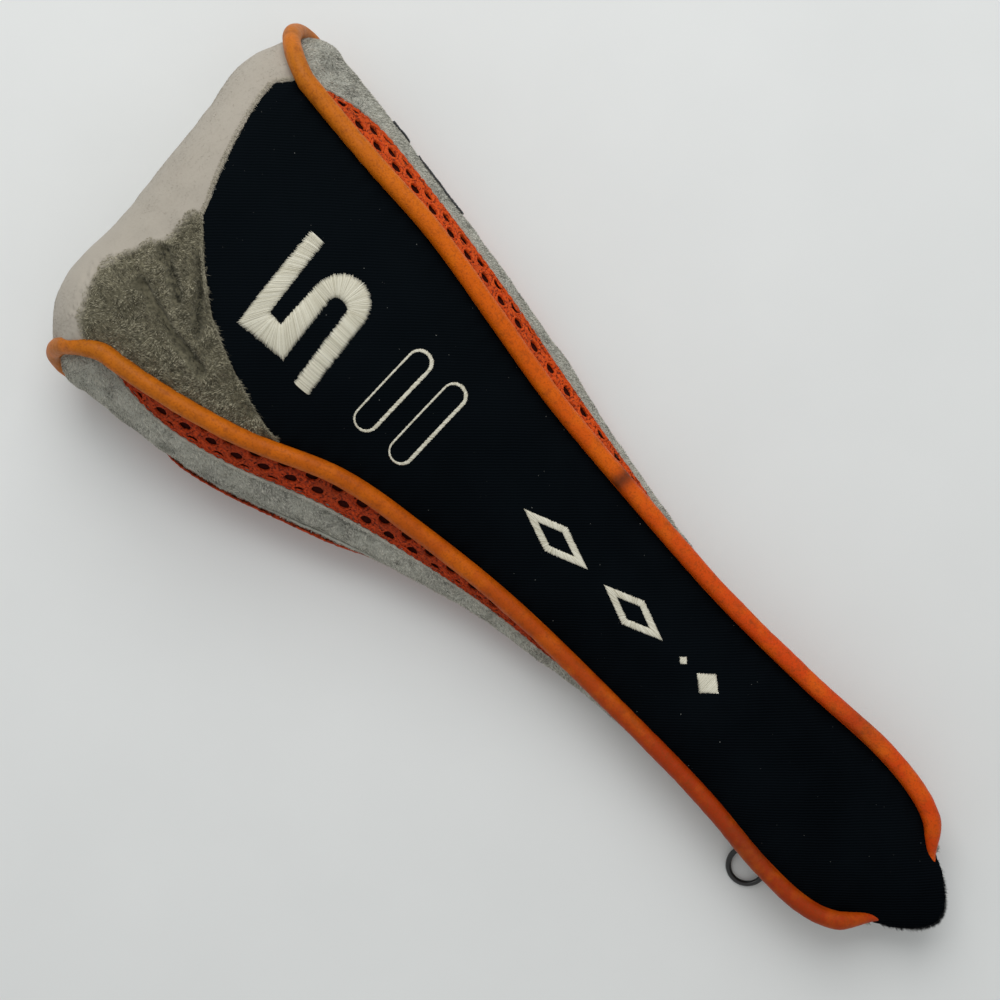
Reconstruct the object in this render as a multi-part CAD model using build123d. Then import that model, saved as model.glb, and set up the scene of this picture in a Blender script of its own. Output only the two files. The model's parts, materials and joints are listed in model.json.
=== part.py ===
"""Padded headcover for a fairway wood, lying on its back, in millimetres.

A centre band runs up the front, over the nose and down the back. A gusset closes each
side, and one length of piping follows each seam between band and gusset. The model is
drawn with x = 0 at the tip of the mouth's tongue and the table at z = 0, and moved along
X and Y to its origin when written.
"""
from build123d import *
from math import asin, cos, hypot, pi, radians, sin, sqrt, tan
import os

# Layers, as depths below the outer surface of the cloth.
SKIN = (0.0, 1.0)
BACKING = (1.05, 1.25)
PADDING = (1.4, 3.1)
LINING = (3.25, 4.4)
ELASTIC = (4.5, 5.3)
EMBROIDERY = (-0.6, -0.05)
SEAM_GAP = 0.001
BAND_SHARE = 0.99
INNER_LOW, INNER_HIGH = 0.02, 0.98
INNER_NOSE_LAP, INNER_GAP = 0.015, 0.002

# Piping.
PIPING_RADIUS = 2.8
PIPING_WALL = 0.7
CORD_CLEARANCE = 0.05
FRONT_SET_IN = (2.4, 2.4)
BACK_SET_IN = (0.9, 3.5)
BULGE_LEAD = 0.35

# Centre lines of the two pipings at stations along the cover, and how far each side bulges.
# x, front height, back height, front crown, front left, front right, back left, back right,
# left reach, right reach
STATIONS = (
    (0, 16.0, 3.2, 3.5, 13.0, 11.0, 9.0, 9.5, 13.0, 11.0),
    (14, 17.5, 3.2, 4.0, 18.0, 15.8, 11.5, 12.5, 17.5, 15.3),
    (30, 18.8, 3.2, 4.5, 25.9, 23.2, 15.5, 18.0, 24.0, 21.8),
    (50, 19.5, 3.2, 5.0, 27.0, 26.0, 17.5, 20.7, 25.5, 24.5),
    (80, 19.5, 3.2, 5.5, 23.8, 25.4, 17.5, 21.4, 23.0, 24.4),
    (120, 20.5, 3.2, 6.0, 22.2, 26.2, 18.5, 23.0, 24.8, 27.8),
    (165, 24.5, 3.2, 7.0, 21.7, 30.2, 25.5, 32.0, 30.0, 35.8),
    (200, 29.5, 3.2, 8.0, 24.3, 34.1, 35.0, 40.3, 38.9, 44.2),
    (230, 35.5, 3.4, 8.5, 28.7, 39.6, 45.5, 47.3, 49.3, 51.0),
    (260, 40.5, 3.8, 9.0, 40.4, 45.0, 54.5, 52.2, 58.4, 55.9),
    (290, 44.5, 4.4, 9.5, 47.6, 47.4, 59.3, 57.2, 62.8, 61.2),
    (320, 46.0, 5.0, 9.5, 51.4, 51.0, 61.8, 61.3, 65.5, 65.3),
)
(
    X,
    FRONT_HEIGHT,
    BACK_HEIGHT,
    FRONT_CROWN,
    FRONT_LEFT,
    FRONT_RIGHT,
    BACK_LEFT,
    BACK_RIGHT,
    REACH_LEFT,
    REACH_RIGHT,
) = range(10)

# Nose: where each piping starts to turn over, how far it runs on, and how far it spreads.
NOSE_START = {"left": 306.0, "right": 318.0}
NOSE_RUN = {"left": 14.5, "right": 16.2}
NOSE_SPREAD = {"left": 6.3, "right": 5.5}
NOSE_CROWN = 9.0
# Places along a seam: the front is 0 to NOSE_IN, the nose runs to NOSE_OUT, the back to PATH_END.
NOSE_IN = 1.0
NOSE_OUT = 1.14
PATH_END = 2.14
BACK_PRESS = 0.4
BAND_FULLNESS = {"front": 2.0, "nose": 4.0}

# Mouth.
MOUTH_X = 14.0
TONGUE_HEM = 5.0

# Front panel's edge with the nose velour: across the panel, from right (-1) to left (+1).
V_SEAM = (
    (-1.0, 320.5),
    (-0.86, 324.0),
    (-0.7, 322.0),
    (-0.45, 318.0),
    (-0.2, 314.0),
    (0.0, 310.5),
    (0.22, 300.5),
    (0.45, 288.5),
    (0.65, 274.5),
    (1.0, 249.0),
)
BACK_SEAM_X = 296.0
NECK_ELASTIC_X = (150.0, 130.0)

# Mesh strips along both edges of each gusset.
MESH_START = {"left": 122.0, "right": 138.0}
MESH_END = {"left": 303.0, "right": 316.0}
MESH_RAMP = {"front": 30.0, "back": 45.0}
MESH_SHARE = {
    ("left", "front"): 0.17,
    ("left", "back"): 0.46,
    ("right", "front"): 0.22,
    ("right", "back"): 0.2,
}
MESH_TIP_SHARE = 0.05
MESH_GAP = 0.006
GUSSET_END = 1.055
INNER_GUSSET_END = 1.04

# Ring and its webbing tab at the left back seam.
RING_X = 51.6
RING_RADIUS = 6.0
WIRE_RADIUS = 0.9
TAB_WIDTH = 5.0
TAB_LOOP_INNER = 1.8
TAB_PLY = 0.7
TAB_LOOP_Y = 24.5
TAB_LOOP_Z = TAB_LOOP_INNER + TAB_PLY + 0.1
TAB_SEWN = (0.62, 0.34)
TAB_CLEARANCE = 0.5
TACK_PLACE = 0.7
TACK_SIZE = (4.0, 1.4)
TACK_HEIGHT = 0.4
TACK_CORNER = 0.5
TAB_TACK_GAP = 0.05

# Embroidery on the front panel.
NUMBER_STROKES = (
    ((285.1, -18.9), (282.3, 15.4), (277.4, 6.9), (280.0, -19.0)),
    ((282.3, 15.4), (265.2, 14.2), (272.6, 7.2), (277.4, 6.9)),
    ((265.2, 14.2), (267.2, -9.0), (272.9, -9.0), (272.6, 7.2)),
    ((261.2, -9.0), (258.5, 16.9), (252.9, 16.6), (255.3, -9.0)),
)
BOWL_OUTER = (264.1, -9.0, 8.8, 9.8)
BOWL_INNER = (264.2, -9.0, 3.0, 1.8)
SLOT_LENGTH = 31.5
SLOT_WIDTH = 8.3
SLOT_STROKE = 1.1
SLOT_CENTRES = ((235.6, -1.5), (221.4, -1.5))
OPEN_LOZENGES = ((169.0, 27.0), (136.0, 25.0))
LOZENGE_WIDTH = 10.0
LOZENGE_STROKE = 2.0
SOLID_LOZENGES = ((114.5, 3.0, 3.0), (104.0, 9.0, 8.0))
MOTIF_Y = -3.0
SIDE_BARS = ((259.5, 281.0), (286.5, 294.0))
SIDE_BAR_HEIGHT = (0.43, 0.55)


def curve(column, x):
    """Smooth value of a station column at x, by a cubic through the stations."""
    rows = STATIONS
    x = min(max(x, rows[0][X]), rows[-1][X])
    i = max(k for k in range(len(rows) - 1) if rows[k][X] <= x)

    def slope(k):
        low, high = max(k - 1, 0), min(k + 1, len(rows) - 1)
        return (rows[high][column] - rows[low][column]) / (rows[high][X] - rows[low][X])

    run = rows[i + 1][X] - rows[i][X]
    t = (x - rows[i][X]) / run
    start, end = rows[i][column], rows[i + 1][column]
    return (
        start * (1 + 2 * t) * (1 - t) ** 2
        + slope(i) * run * t * (1 - t) ** 2
        + end * (3 - 2 * t) * t * t
        + slope(i + 1) * run * t * t * (t - 1)
    )


def side_sign(side):
    return 1 if side == "left" else -1


def edge_width(side, face, x):
    columns = {
        ("left", "front"): FRONT_LEFT,
        ("right", "front"): FRONT_RIGHT,
        ("left", "back"): BACK_LEFT,
        ("right", "back"): BACK_RIGHT,
    }
    return curve(columns[side, face], x)


def nose_angle(q):
    """Direction that the nose faces at q, from straight up to straight down."""
    return pi / 2 - pi * (q - NOSE_IN) / (NOSE_OUT - NOSE_IN)


def path_state(side, q):
    """Where q lies on the centre line of a side's piping.

    Returns x, half width, height, the normal in the XZ plane, and 1 on the front,
    0 on the back and between them on the nose.
    """
    start = NOSE_START[side]
    if q <= NOSE_IN:
        x = q * start
        return x, edge_width(side, "front", x), curve(FRONT_HEIGHT, x), (0.0, 1.0), 1.0
    if q >= NOSE_OUT:
        x = (PATH_END - q) * start
        return x, edge_width(side, "back", x), curve(BACK_HEIGHT, x), (0.0, -1.0), 0.0
    angle = nose_angle(q)
    high, low = curve(FRONT_HEIGHT, start), curve(BACK_HEIGHT, start)
    wide_front, wide_back = edge_width(side, "front", start), edge_width(side, "back", start)
    front = (1 + sin(angle)) / 2
    width = wide_back + (wide_front - wide_back) * front + NOSE_SPREAD[side] * cos(angle)
    x = start + NOSE_RUN[side] * cos(angle)
    z = (high + low) / 2 + (high - low) / 2 * sin(angle)
    return x, width, z, (cos(angle), sin(angle)), front


def piping_centre(side, q):
    x, width, z, _, _ = path_state(side, q)
    return Vector(x, side_sign(side) * width, z)


def seam(side, q, depth):
    """A panel corner on the seam, set in from the piping's centre and down by depth."""
    x, width, z, normal, front = path_state(side, q)
    along = BACK_SET_IN[0] + (FRONT_SET_IN[0] - BACK_SET_IN[0]) * front + depth
    across = BACK_SET_IN[1] + (FRONT_SET_IN[1] - BACK_SET_IN[1]) * front + depth
    return Vector(
        x - normal[0] * along, side_sign(side) * (width - across), z - normal[1] * along
    )


def band(q, t, depth):
    """Point on the centre band: q runs over the nose, t from the right seam to the left."""
    right, left = seam("right", q, depth), seam("left", q, depth)
    base = right + (left - right) * ((t + 1) / 2)
    x = base.X
    if q <= NOSE_IN:
        crown, normal, fullness = curve(FRONT_CROWN, x), (0.0, 1.0), BAND_FULLNESS["front"]
    elif q >= NOSE_OUT:
        crown, normal = base.Z - depth + BACK_PRESS, (0.0, -1.0)
        fullness = BAND_FULLNESS["front"]
    else:
        angle = nose_angle(q)
        normal = (cos(angle), sin(angle))
        front_crown = curve(FRONT_CROWN, NOSE_START["right"])
        back_crown = curve(BACK_HEIGHT, NOSE_START["right"]) + BACK_SET_IN[0] + BACK_PRESS
        end_crown = front_crown if angle > 0 else back_crown
        crown = NOSE_CROWN + (end_crown - NOSE_CROWN) * sin(angle) ** 2
        fullness = BAND_FULLNESS["nose"]
        fullness += (BAND_FULLNESS["front"] - fullness) * sin(angle) ** 2
    rise = crown * (1 - abs(t) ** fullness)
    return base + Vector(normal[0] * rise, 0, normal[1] * rise)


def bulge(side, x):
    """Height of the gusset's bulge: with the lean added it just touches the side's reach."""
    front = edge_width(side, "front", x) - FRONT_SET_IN[1]
    back = edge_width(side, "back", x) - BACK_SET_IN[1]
    reach = curve(REACH_LEFT if side == "left" else REACH_RIGHT, x)
    lean = back - front
    room = max(reach - front, lean + 1.0, 1.0)
    half = 16 * room - 8 * lean
    return (half + sqrt(max(half * half - 64 * lean * lean, 0.0))) / 32


def gusset(side, g, w, depth):
    """Point on a side: g runs from the mouth towards the nose's middle, w front to back."""
    front, back = seam(side, g, depth), seam(side, PATH_END - g, depth)
    swell = bulge(side, min(g, NOSE_IN) * NOSE_START[side])
    if g > NOSE_IN:
        swell *= sin(nose_angle(g)) ** 1.5
    swell *= 4 * w * (1 - w) * (1 + BULGE_LEAD * (1 - 2 * w))
    return front + (back - front) * w + Vector(0, side_sign(side) * swell, 0)


def surface(place, depth, rows, columns):
    """Smooth face through lines of points that run across the piece."""
    stops = [j / columns for j in range(columns + 1)]
    lines = []
    for i in range(rows + 1):
        points = [place(i / rows, stop, depth) for stop in stops]
        lines.append(Wire([Edge.make_spline(points, parameters=stops)]))
    return Shell.make_loft(lines).face()


def layer(place, depths, rows=30, columns=12):
    """Closed solid between two depths below the surface that place(a, b, depth) gives."""
    outer = surface(place, depths[0], rows, columns)
    inner = surface(place, depths[1], rows, columns)
    pairs = zip(outer.edges(), inner.edges())
    rims = [Face.make_surface_from_curves(a, b) for a, b in pairs]
    return Solid(Shell([outer, inner] + rims))


def q_of_x(side, x):
    return x / NOSE_START[side]


def mean_q(x):
    return x / ((NOSE_START["left"] + NOSE_START["right"]) / 2)


def between_sides(values, t):
    """A side's value carried across the band, from right (-1) to left (+1)."""
    return (values["right"] + values["left"] + (values["left"] - values["right"]) * t) / 2


def v_seam_q(t):
    """Where the front panel ends, for a place t across it."""
    for (t0, x0), (t1, x1) in zip(V_SEAM, V_SEAM[1:]):
        if t <= t1:
            x = x0 + (x1 - x0) * (t - t0) / (t1 - t0)
            break
    start, run = between_sides(NOSE_START, t), between_sides(NOSE_RUN, t)
    if x <= start:
        return x / start
    return NOSE_IN + (NOSE_OUT - NOSE_IN) * asin(min((x - start) / run, 1.0)) / pi


def tongue_q(t):
    """Rounded front edge of the mouth, as a fraction of the way along the band."""
    return mean_q(MOUTH_X * (1 - sqrt(max(1 - t * t, 0.0))))


def across(b):
    """Place across the band, kept a little off the two seams."""
    return (2 * b - 1) * BAND_SHARE


def band_patch(start, end, depths, rows=30, columns=12, low=0.0, high=1.0):
    """Layer of the band between two lines start(t) and end(t)."""

    def place(a, b, depth):
        t = across(low + (high - low) * b)
        first, last = start(t), end(t)
        return band(first + (last - first) * a, t, depth)

    return layer(place, depths, rows, columns)


def gusset_patch(side, start, end, low, high, depths, rows=30, columns=8):
    """Layer of a side between two places along it and two lines low(g) and high(g)."""

    def place(a, b, depth):
        g = start + (end - start) * a
        first, last = low(g), high(g)
        return gusset(side, g, first + (last - first) * b, depth)

    return layer(place, depths, rows, columns)


def mesh_share(side, face, g):
    """Share of the gusset's height that a mesh strip takes at g."""
    x = min(g, NOSE_IN) * NOSE_START[side]
    ramp = min(x - MESH_START[side], MESH_END[side] - x) / MESH_RAMP[face]
    ramp = min(max(ramp, 0.0), 1.0)
    return MESH_TIP_SHARE + (MESH_SHARE[side, face] - MESH_TIP_SHARE) * sin(ramp * pi / 2)


def front_panel():
    return band_patch(tongue_q, v_seam_q, SKIN, rows=40)


def pressed_flat(panel):
    """The panel with what would lie below the table cut away."""
    return panel - Pos(0, 0, -5) * Box(1000, 400, 10)


def nose_panel():
    return pressed_flat(
        band_patch(
            lambda t: v_seam_q(t) + SEAM_GAP,
            lambda t: PATH_END - mean_q(BACK_SEAM_X),
            SKIN,
            rows=36,
            columns=16,
        )
    )


def back_panel():
    start = PATH_END - mean_q(BACK_SEAM_X) + SEAM_GAP
    return pressed_flat(
        band_patch(lambda t: start, lambda t: PATH_END - mean_q(MOUTH_X), SKIN)
    )


def tongue_facing():
    return band_patch(
        lambda t: tongue_q(t) + mean_q(0.6),
        lambda t: mean_q(MOUTH_X + TONGUE_HEM),
        (BACKING[0], PADDING[1]),
        rows=10,
        low=0.04,
        high=0.96,
    )


def back_hem():
    return band_patch(
        lambda t: PATH_END - mean_q(MOUTH_X + TONGUE_HEM),
        lambda t: PATH_END - mean_q(MOUTH_X + 0.2),
        (BACKING[0], PADDING[1]),
        rows=6,
        low=0.04,
        high=0.96,
    )


def side_panel(side):
    start = q_of_x(side, MOUTH_X)
    return gusset_patch(
        side,
        start,
        GUSSET_END,
        lambda g: mesh_share(side, "front", g),
        lambda g: 1 - mesh_share(side, "back", g),
        SKIN,
        rows=50,
    )


def mesh_strip(side, face):
    start, end = q_of_x(side, MESH_START[side]), q_of_x(side, MESH_END[side])

    def edge(g):
        return mesh_share(side, face, g) - MESH_GAP

    if face == "front":
        return gusset_patch(side, start, end, lambda g: 0.01, edge, SKIN)
    return gusset_patch(side, start, end, lambda g: 1 - edge(g), lambda g: 0.99, SKIN)


def inner_band(part, depths):
    """Padding or lining behind one of the band's three panels."""
    first = mean_q(MOUTH_X + TONGUE_HEM + 0.5)
    start, end = {
        "front": (first, NOSE_IN - INNER_NOSE_LAP - INNER_GAP),
        "nose": (NOSE_IN - INNER_NOSE_LAP, NOSE_OUT + INNER_NOSE_LAP),
        "back": (NOSE_OUT + INNER_NOSE_LAP + INNER_GAP, PATH_END - first),
    }[part]
    return band_patch(
        lambda t: start, lambda t: end, depths, rows=24, low=INNER_LOW, high=INNER_HIGH
    )


def side_layer(side, depths):
    """Padding or lining behind a side."""
    start = q_of_x(side, MOUTH_X + TONGUE_HEM)
    return gusset_patch(
        side, start, INNER_GUSSET_END, lambda g: INNER_LOW, lambda g: INNER_HIGH, depths, rows=50
    )


def piping_stations(side):
    """Values of q for the piping's path, closer together round the nose."""
    front_x = (MOUTH_X, 32, 50, 80, 120, 165, 200, 230, 260, 290)
    front = [q_of_x(side, x) for x in front_x]
    nose = [NOSE_IN + (NOSE_OUT - NOSE_IN) * k / 4 for k in range(5)]
    back = [PATH_END - q for q in reversed(front)]
    return front + nose + back


def piping_path(side):
    """Straight runs joined by tangent arcs, as large as the runs beside them allow."""
    points = [piping_centre(side, q) for q in piping_stations(side)]
    radii = []
    for before, corner, after in zip(points, points[1:], points[2:]):
        turn = (corner - before).get_angle(after - corner)
        run = min((corner - before).length, (after - corner).length)
        radii.append(0.45 * run / tan(radians(turn / 2)))
    return FilletPolyline(*points, radius=radii)


def piping_tube(side, radius):
    path = piping_path(side)
    start = Plane(origin=path @ 0, z_dir=path % 0)
    return sweep(start * Circle(radius), path=path)


def piping_cover(side):
    return piping_tube(side, PIPING_RADIUS) - piping_tube(side, PIPING_RADIUS - PIPING_WALL)


def piping_cord(side):
    return piping_tube(side, PIPING_RADIUS - PIPING_WALL - CORD_CLEARANCE)


def neck_elastic():
    first, last = NECK_ELASTIC_X
    return band_patch(
        lambda t: PATH_END - mean_q(first),
        lambda t: PATH_END - mean_q(last),
        ELASTIC,
        rows=6,
        low=0.1,
        high=0.9,
    )


def panel_slab(x0, x1, depths):
    """Thin slab that follows the front panel, to cut embroidery from."""
    return band_patch(lambda t: mean_q(x0), lambda t: mean_q(x1), depths, low=0.12, high=0.88)


def stitched(outline, x0, x1):
    """Raised stitching: an outline in the XY plane carried onto the front panel."""
    prism = extrude(outline, 80)
    return panel_slab(x0, x1, EMBROIDERY) & prism


def number_outline():
    """A plain figure 5, its top towards the nose: four straight strokes and a bowl."""
    strokes = [make_face(Polyline(*corners, close=True)) for corners in NUMBER_STROKES]
    (x_out, y_out, *radii_out), (x_in, y_in, *radii_in) = BOWL_OUTER, BOWL_INNER
    ring = Pos(x_out, y_out) * Ellipse(*radii_out) - Pos(x_in, y_in) * Ellipse(*radii_in)
    half = Pos(x_out, y_out) * Rectangle(60, 60, align=(Align.CENTER, Align.MAX))
    return Sketch() + strokes + (ring & half)


def slot_outline():
    pill = SlotOverall(SLOT_LENGTH, SLOT_WIDTH, rotation=90)
    hole = SlotOverall(SLOT_LENGTH - 2 * SLOT_STROKE, SLOT_WIDTH - 2 * SLOT_STROKE, rotation=90)
    return Sketch() + [Pos(x, y) * (pill - hole) for x, y in SLOT_CENTRES]


def lozenge(length, width):
    return Polygon((-length / 2, 0), (0, -width / 2), (length / 2, 0), (0, width / 2))


def motif_outline():
    shapes = []
    for x, length in OPEN_LOZENGES:
        inset = 2 * LOZENGE_STROKE * hypot(length, LOZENGE_WIDTH)
        hole = lozenge(length - inset / LOZENGE_WIDTH, LOZENGE_WIDTH - inset / length)
        shapes.append(Pos(x, MOTIF_Y) * (lozenge(length, LOZENGE_WIDTH) - hole))
    for x, length, width in SOLID_LOZENGES:
        shapes.append(Pos(x, MOTIF_Y) * lozenge(length, width))
    return Sketch() + shapes


def embroidery_backing():
    return panel_slab(96, 290, BACKING)


def side_embroidery():
    """Two plain satin bars on the right side."""
    low, high = SIDE_BAR_HEIGHT
    return [
        gusset_patch(
            "right",
            q_of_x("right", start),
            q_of_x("right", end),
            lambda g: low,
            lambda g: high,
            EMBROIDERY,
            rows=6,
            columns=4,
        )
        for start, end in SIDE_BARS
    ]


def tab_line():
    """Centre line of the tab's strap in the YZ plane, from the loop to its sewn end."""
    g = q_of_x("left", RING_X)
    low, high = [gusset("left", g, w, 0) for w in TAB_SEWN]
    run = Vector(0, high.Y - low.Y, high.Z - low.Z).normalized()
    out = Vector(0, run.Z, -run.Y) * (TAB_PLY + TAB_CLEARANCE)
    loop = Vector(0, TAB_LOOP_Y, TAB_LOOP_Z)
    low, high = Vector(0, low.Y, low.Z) + out, Vector(0, high.Y, high.Z) + out
    reach = (low - loop).normalized() * (TAB_LOOP_INNER + TAB_PLY / 2)
    return loop + reach, low, high


def flat(point):
    return (point.Y, point.Z)


def ring_tab():
    plane = Plane(origin=(RING_X - TAB_WIDTH / 2, 0, 0), x_dir=(0, 1, 0), z_dir=(1, 0, 0))
    loop = Circle(TAB_LOOP_INNER + TAB_PLY) - Circle(TAB_LOOP_INNER)
    strap = trace(Polyline(*[flat(p) for p in tab_line()]), 2 * TAB_PLY)
    hole = Pos(TAB_LOOP_Y, TAB_LOOP_Z) * Circle(TAB_LOOP_INNER)
    outline = Pos(TAB_LOOP_Y, TAB_LOOP_Z) * loop + (strap - hole)
    return extrude(plane * outline, TAB_WIDTH)


def tab_stitching():
    """Bar tack across the sewn end of the tab."""
    _, low, high = tab_line()
    middle = low + (high - low) * TACK_PLACE
    run = (high - low).normalized()
    out = Vector(0, run.Z, -run.Y)
    base = middle + out * (TAB_PLY + TAB_TACK_GAP) + Vector(RING_X, 0, 0)
    plane = Plane(origin=base, x_dir=(1, 0, 0), z_dir=out)
    return extrude(plane * RectangleRounded(*TACK_SIZE, TACK_CORNER), TACK_HEIGHT)


def ring():
    """Wire ring that leans from the tab's loop down to the table."""
    drop = TAB_LOOP_Z - WIRE_RADIUS
    run = 2 * RING_RADIUS
    lean = drop / run
    y_dir = Vector(0, sqrt(1 - lean * lean), -lean)
    normal = Vector(1, 0, 0).cross(y_dir)
    centre = Vector(RING_X, TAB_LOOP_Y, TAB_LOOP_Z) + y_dir * RING_RADIUS
    plane = Plane(origin=centre, x_dir=(1, 0, 0), z_dir=normal)
    return plane.location * Torus(RING_RADIUS, WIRE_RADIUS)


def all_pieces():
    pieces = {
        "front_panel": front_panel(),
        "nose_panel": nose_panel(),
        "back_panel": back_panel(),
        "tongue_facing": tongue_facing(),
        "back_hem": back_hem(),
        "neck_elastic": neck_elastic(),
        "embroidery_backing": embroidery_backing(),
        "number_embroidery": stitched(number_outline(), 246, 290),
        "slot_embroidery": stitched(slot_outline(), 210, 246),
        "motif_embroidery": stitched(motif_outline(), 94, 190),
        "side_embroidery": side_embroidery(),
        "ring_tab": ring_tab(),
        "tab_stitching": tab_stitching(),
        "ring": ring(),
    }
    for part in ("front", "nose", "back"):
        pieces[part + "_padding"] = inner_band(part, PADDING)
        pieces[part + "_lining"] = inner_band(part, LINING)
    for side in ("left", "right"):
        pieces[side + "_side_panel"] = side_panel(side)
        pieces[side + "_front_mesh"] = mesh_strip(side, "front")
        pieces[side + "_back_mesh"] = mesh_strip(side, "back")
        pieces[side + "_side_padding"] = side_layer(side, PADDING)
        pieces[side + "_side_lining"] = side_layer(side, LINING)
        pieces[side + "_piping_cover"] = piping_cover(side)
        pieces[side + "_piping_cord"] = piping_cord(side)
    return pieces


def as_compound(piece):
    solids = piece if isinstance(piece, list) else piece.solids()
    return Compound(children=list(solids)) if len(solids) > 1 else solids[0]


def main():
    os.makedirs("parts", exist_ok=True)
    shapes = {name: as_compound(piece) for name, piece in all_pieces().items()}
    boxes = [shape.bounding_box(tolerance=0.01) for shape in shapes.values()]
    middle_x = (min(b.min.X for b in boxes) + max(b.max.X for b in boxes)) / 2
    middle_y = (min(b.min.Y for b in boxes) + max(b.max.Y for b in boxes)) / 2
    print("origin at", round(middle_x, 3), round(middle_y, 3))
    for name, shape in shapes.items():
        export_step(Pos(-middle_x, -middle_y, 0) * shape, f"parts/{name}.step")


main()
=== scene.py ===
"""Looks of a padded fairway-wood headcover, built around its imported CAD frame.

Shapes are worked out in millimetres with x = 0 at the tip of the mouth's tongue, as the CAD
part's source has them, and moved into the frame when each mesh is written.
"""

import json

import bpy
import numpy as np
from mathutils import Matrix, Vector


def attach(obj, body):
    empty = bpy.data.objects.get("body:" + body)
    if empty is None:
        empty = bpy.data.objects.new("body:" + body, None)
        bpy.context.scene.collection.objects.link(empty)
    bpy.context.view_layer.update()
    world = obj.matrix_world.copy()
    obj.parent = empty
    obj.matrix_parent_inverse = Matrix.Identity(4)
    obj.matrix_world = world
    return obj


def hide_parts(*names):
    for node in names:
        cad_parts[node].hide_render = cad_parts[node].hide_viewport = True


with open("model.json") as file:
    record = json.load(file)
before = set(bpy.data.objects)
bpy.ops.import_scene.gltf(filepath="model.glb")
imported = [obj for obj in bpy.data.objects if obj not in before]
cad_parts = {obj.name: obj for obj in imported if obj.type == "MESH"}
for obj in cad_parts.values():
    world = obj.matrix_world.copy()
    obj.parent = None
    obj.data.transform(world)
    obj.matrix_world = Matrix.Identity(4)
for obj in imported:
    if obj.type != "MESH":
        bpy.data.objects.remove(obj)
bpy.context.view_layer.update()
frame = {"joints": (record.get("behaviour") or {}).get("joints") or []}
MM = 0.001
RNG = np.random.default_rng(7)

# ---------------------------------------------------------------- driving values, as in the CAD

STATIONS = np.array(
    [
        (0, 16.0, 3.2, 3.5, 13.0, 11.0, 9.0, 9.5, 13.0, 11.0),
        (14, 17.5, 3.2, 4.0, 18.0, 15.8, 11.5, 12.5, 17.5, 15.3),
        (30, 18.8, 3.2, 4.5, 25.9, 23.2, 15.5, 18.0, 24.0, 21.8),
        (50, 19.5, 3.2, 5.0, 27.0, 26.0, 17.5, 20.7, 25.5, 24.5),
        (80, 19.5, 3.2, 5.5, 23.8, 25.4, 17.5, 21.4, 23.0, 24.4),
        (120, 20.5, 3.2, 6.0, 22.2, 26.2, 18.5, 23.0, 24.8, 27.8),
        (165, 24.5, 3.2, 7.0, 21.7, 30.2, 25.5, 32.0, 30.0, 35.8),
        (200, 29.5, 3.2, 8.0, 24.3, 34.1, 35.0, 40.3, 38.9, 44.2),
        (230, 35.5, 3.4, 8.5, 28.7, 39.6, 45.5, 47.3, 49.3, 51.0),
        (260, 40.5, 3.8, 9.0, 40.4, 45.0, 54.5, 52.2, 58.4, 55.9),
        (290, 44.5, 4.4, 9.5, 47.6, 47.4, 59.3, 57.2, 62.8, 61.2),
        (320, 46.0, 5.0, 9.5, 51.4, 51.0, 61.8, 61.3, 65.5, 65.3),
    ]
)
COLUMNS = {
    "front height": 1,
    "back height": 2,
    "crown": 3,
    ("left", "front"): 4,
    ("right", "front"): 5,
    ("left", "back"): 6,
    ("right", "back"): 7,
    ("left", "reach"): 8,
    ("right", "reach"): 9,
}
SIDES = {"left": 1, "right": -1}
NOSE_START = {"left": 306.0, "right": 318.0}
NOSE_RUN = {"left": 14.5, "right": 16.2}
NOSE_SPREAD = {"left": 6.3, "right": 5.5}
NOSE_CROWN = 9.0
NOSE_OUT = 1.14
PATH_END = 2.14
BACK_PRESS = 0.4
FULLNESS_FRONT, FULLNESS_NOSE = 2.0, 4.0
FRONT_SET_IN = 2.4
BACK_SET_IN = (0.9, 3.5)
BULGE_LEAD = 0.35
BAND_SHARE = 0.99
MOUTH_X = 14.0
TONGUE_HEM = 5.0
V_SEAM = (
    (-1.0, 320.5),
    (-0.86, 324.0),
    (-0.7, 322.0),
    (-0.45, 318.0),
    (-0.2, 314.0),
    (0.0, 310.5),
    (0.22, 300.5),
    (0.45, 288.5),
    (0.65, 274.5),
    (1.0, 249.0),
)
BACK_SEAM_X = 296.0
SEAM_GAP = 0.001
MESH_START = {"left": 122.0, "right": 138.0}
MESH_END = {"left": 303.0, "right": 316.0}
MESH_RAMP = {"front": 30.0, "back": 45.0}
MESH_SHARE = {
    ("left", "front"): 0.17,
    ("left", "back"): 0.46,
    ("right", "front"): 0.22,
    ("right", "back"): 0.2,
}
MESH_TIP_SHARE = 0.05
GUSSET_END = 1.055
INNER_GUSSET_END = 1.04
PIPING_RADIUS = 2.8
CLOTH = 1.0
BACKING = (1.05, 1.25)
PADDING = (1.4, 3.1)
LINING = (3.25, 4.4)
RING_X, RING_RADIUS, WIRE_RADIUS = 51.6, 6.0, 0.9
TAB_WIDTH, TAB_PLY, TAB_LOOP_INNER = 5.0, 0.7, 1.8
TAB_LOOP = (24.5, TAB_LOOP_INNER + TAB_PLY + 0.1)
NUMBER_STROKES = (
    ((285.1, -18.9), (282.3, 15.4), (277.4, 6.9), (280.0, -19.0)),
    ((282.3, 15.4), (265.2, 14.2), (272.6, 7.2), (277.4, 6.9)),
    ((265.2, 14.2), (267.2, -9.0), (272.9, -9.0), (272.6, 7.2)),
    ((261.2, -9.0), (258.5, 16.9), (252.9, 16.6), (255.3, -9.0)),
)
BOWL_OUTER = (264.1, -9.0, 8.8, 9.8)
BOWL_INNER = (264.2, -9.0, 3.0, 1.8)
SLOT_LENGTH, SLOT_WIDTH = 31.5, 8.3
SLOT_CENTRES = ((235.6, -1.5), (221.4, -1.5))
OPEN_LOZENGES = ((169.0, 27.0), (136.0, 25.0))
LOZENGE_WIDTH, LOZENGE_STROKE = 10.0, 2.0
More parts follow.
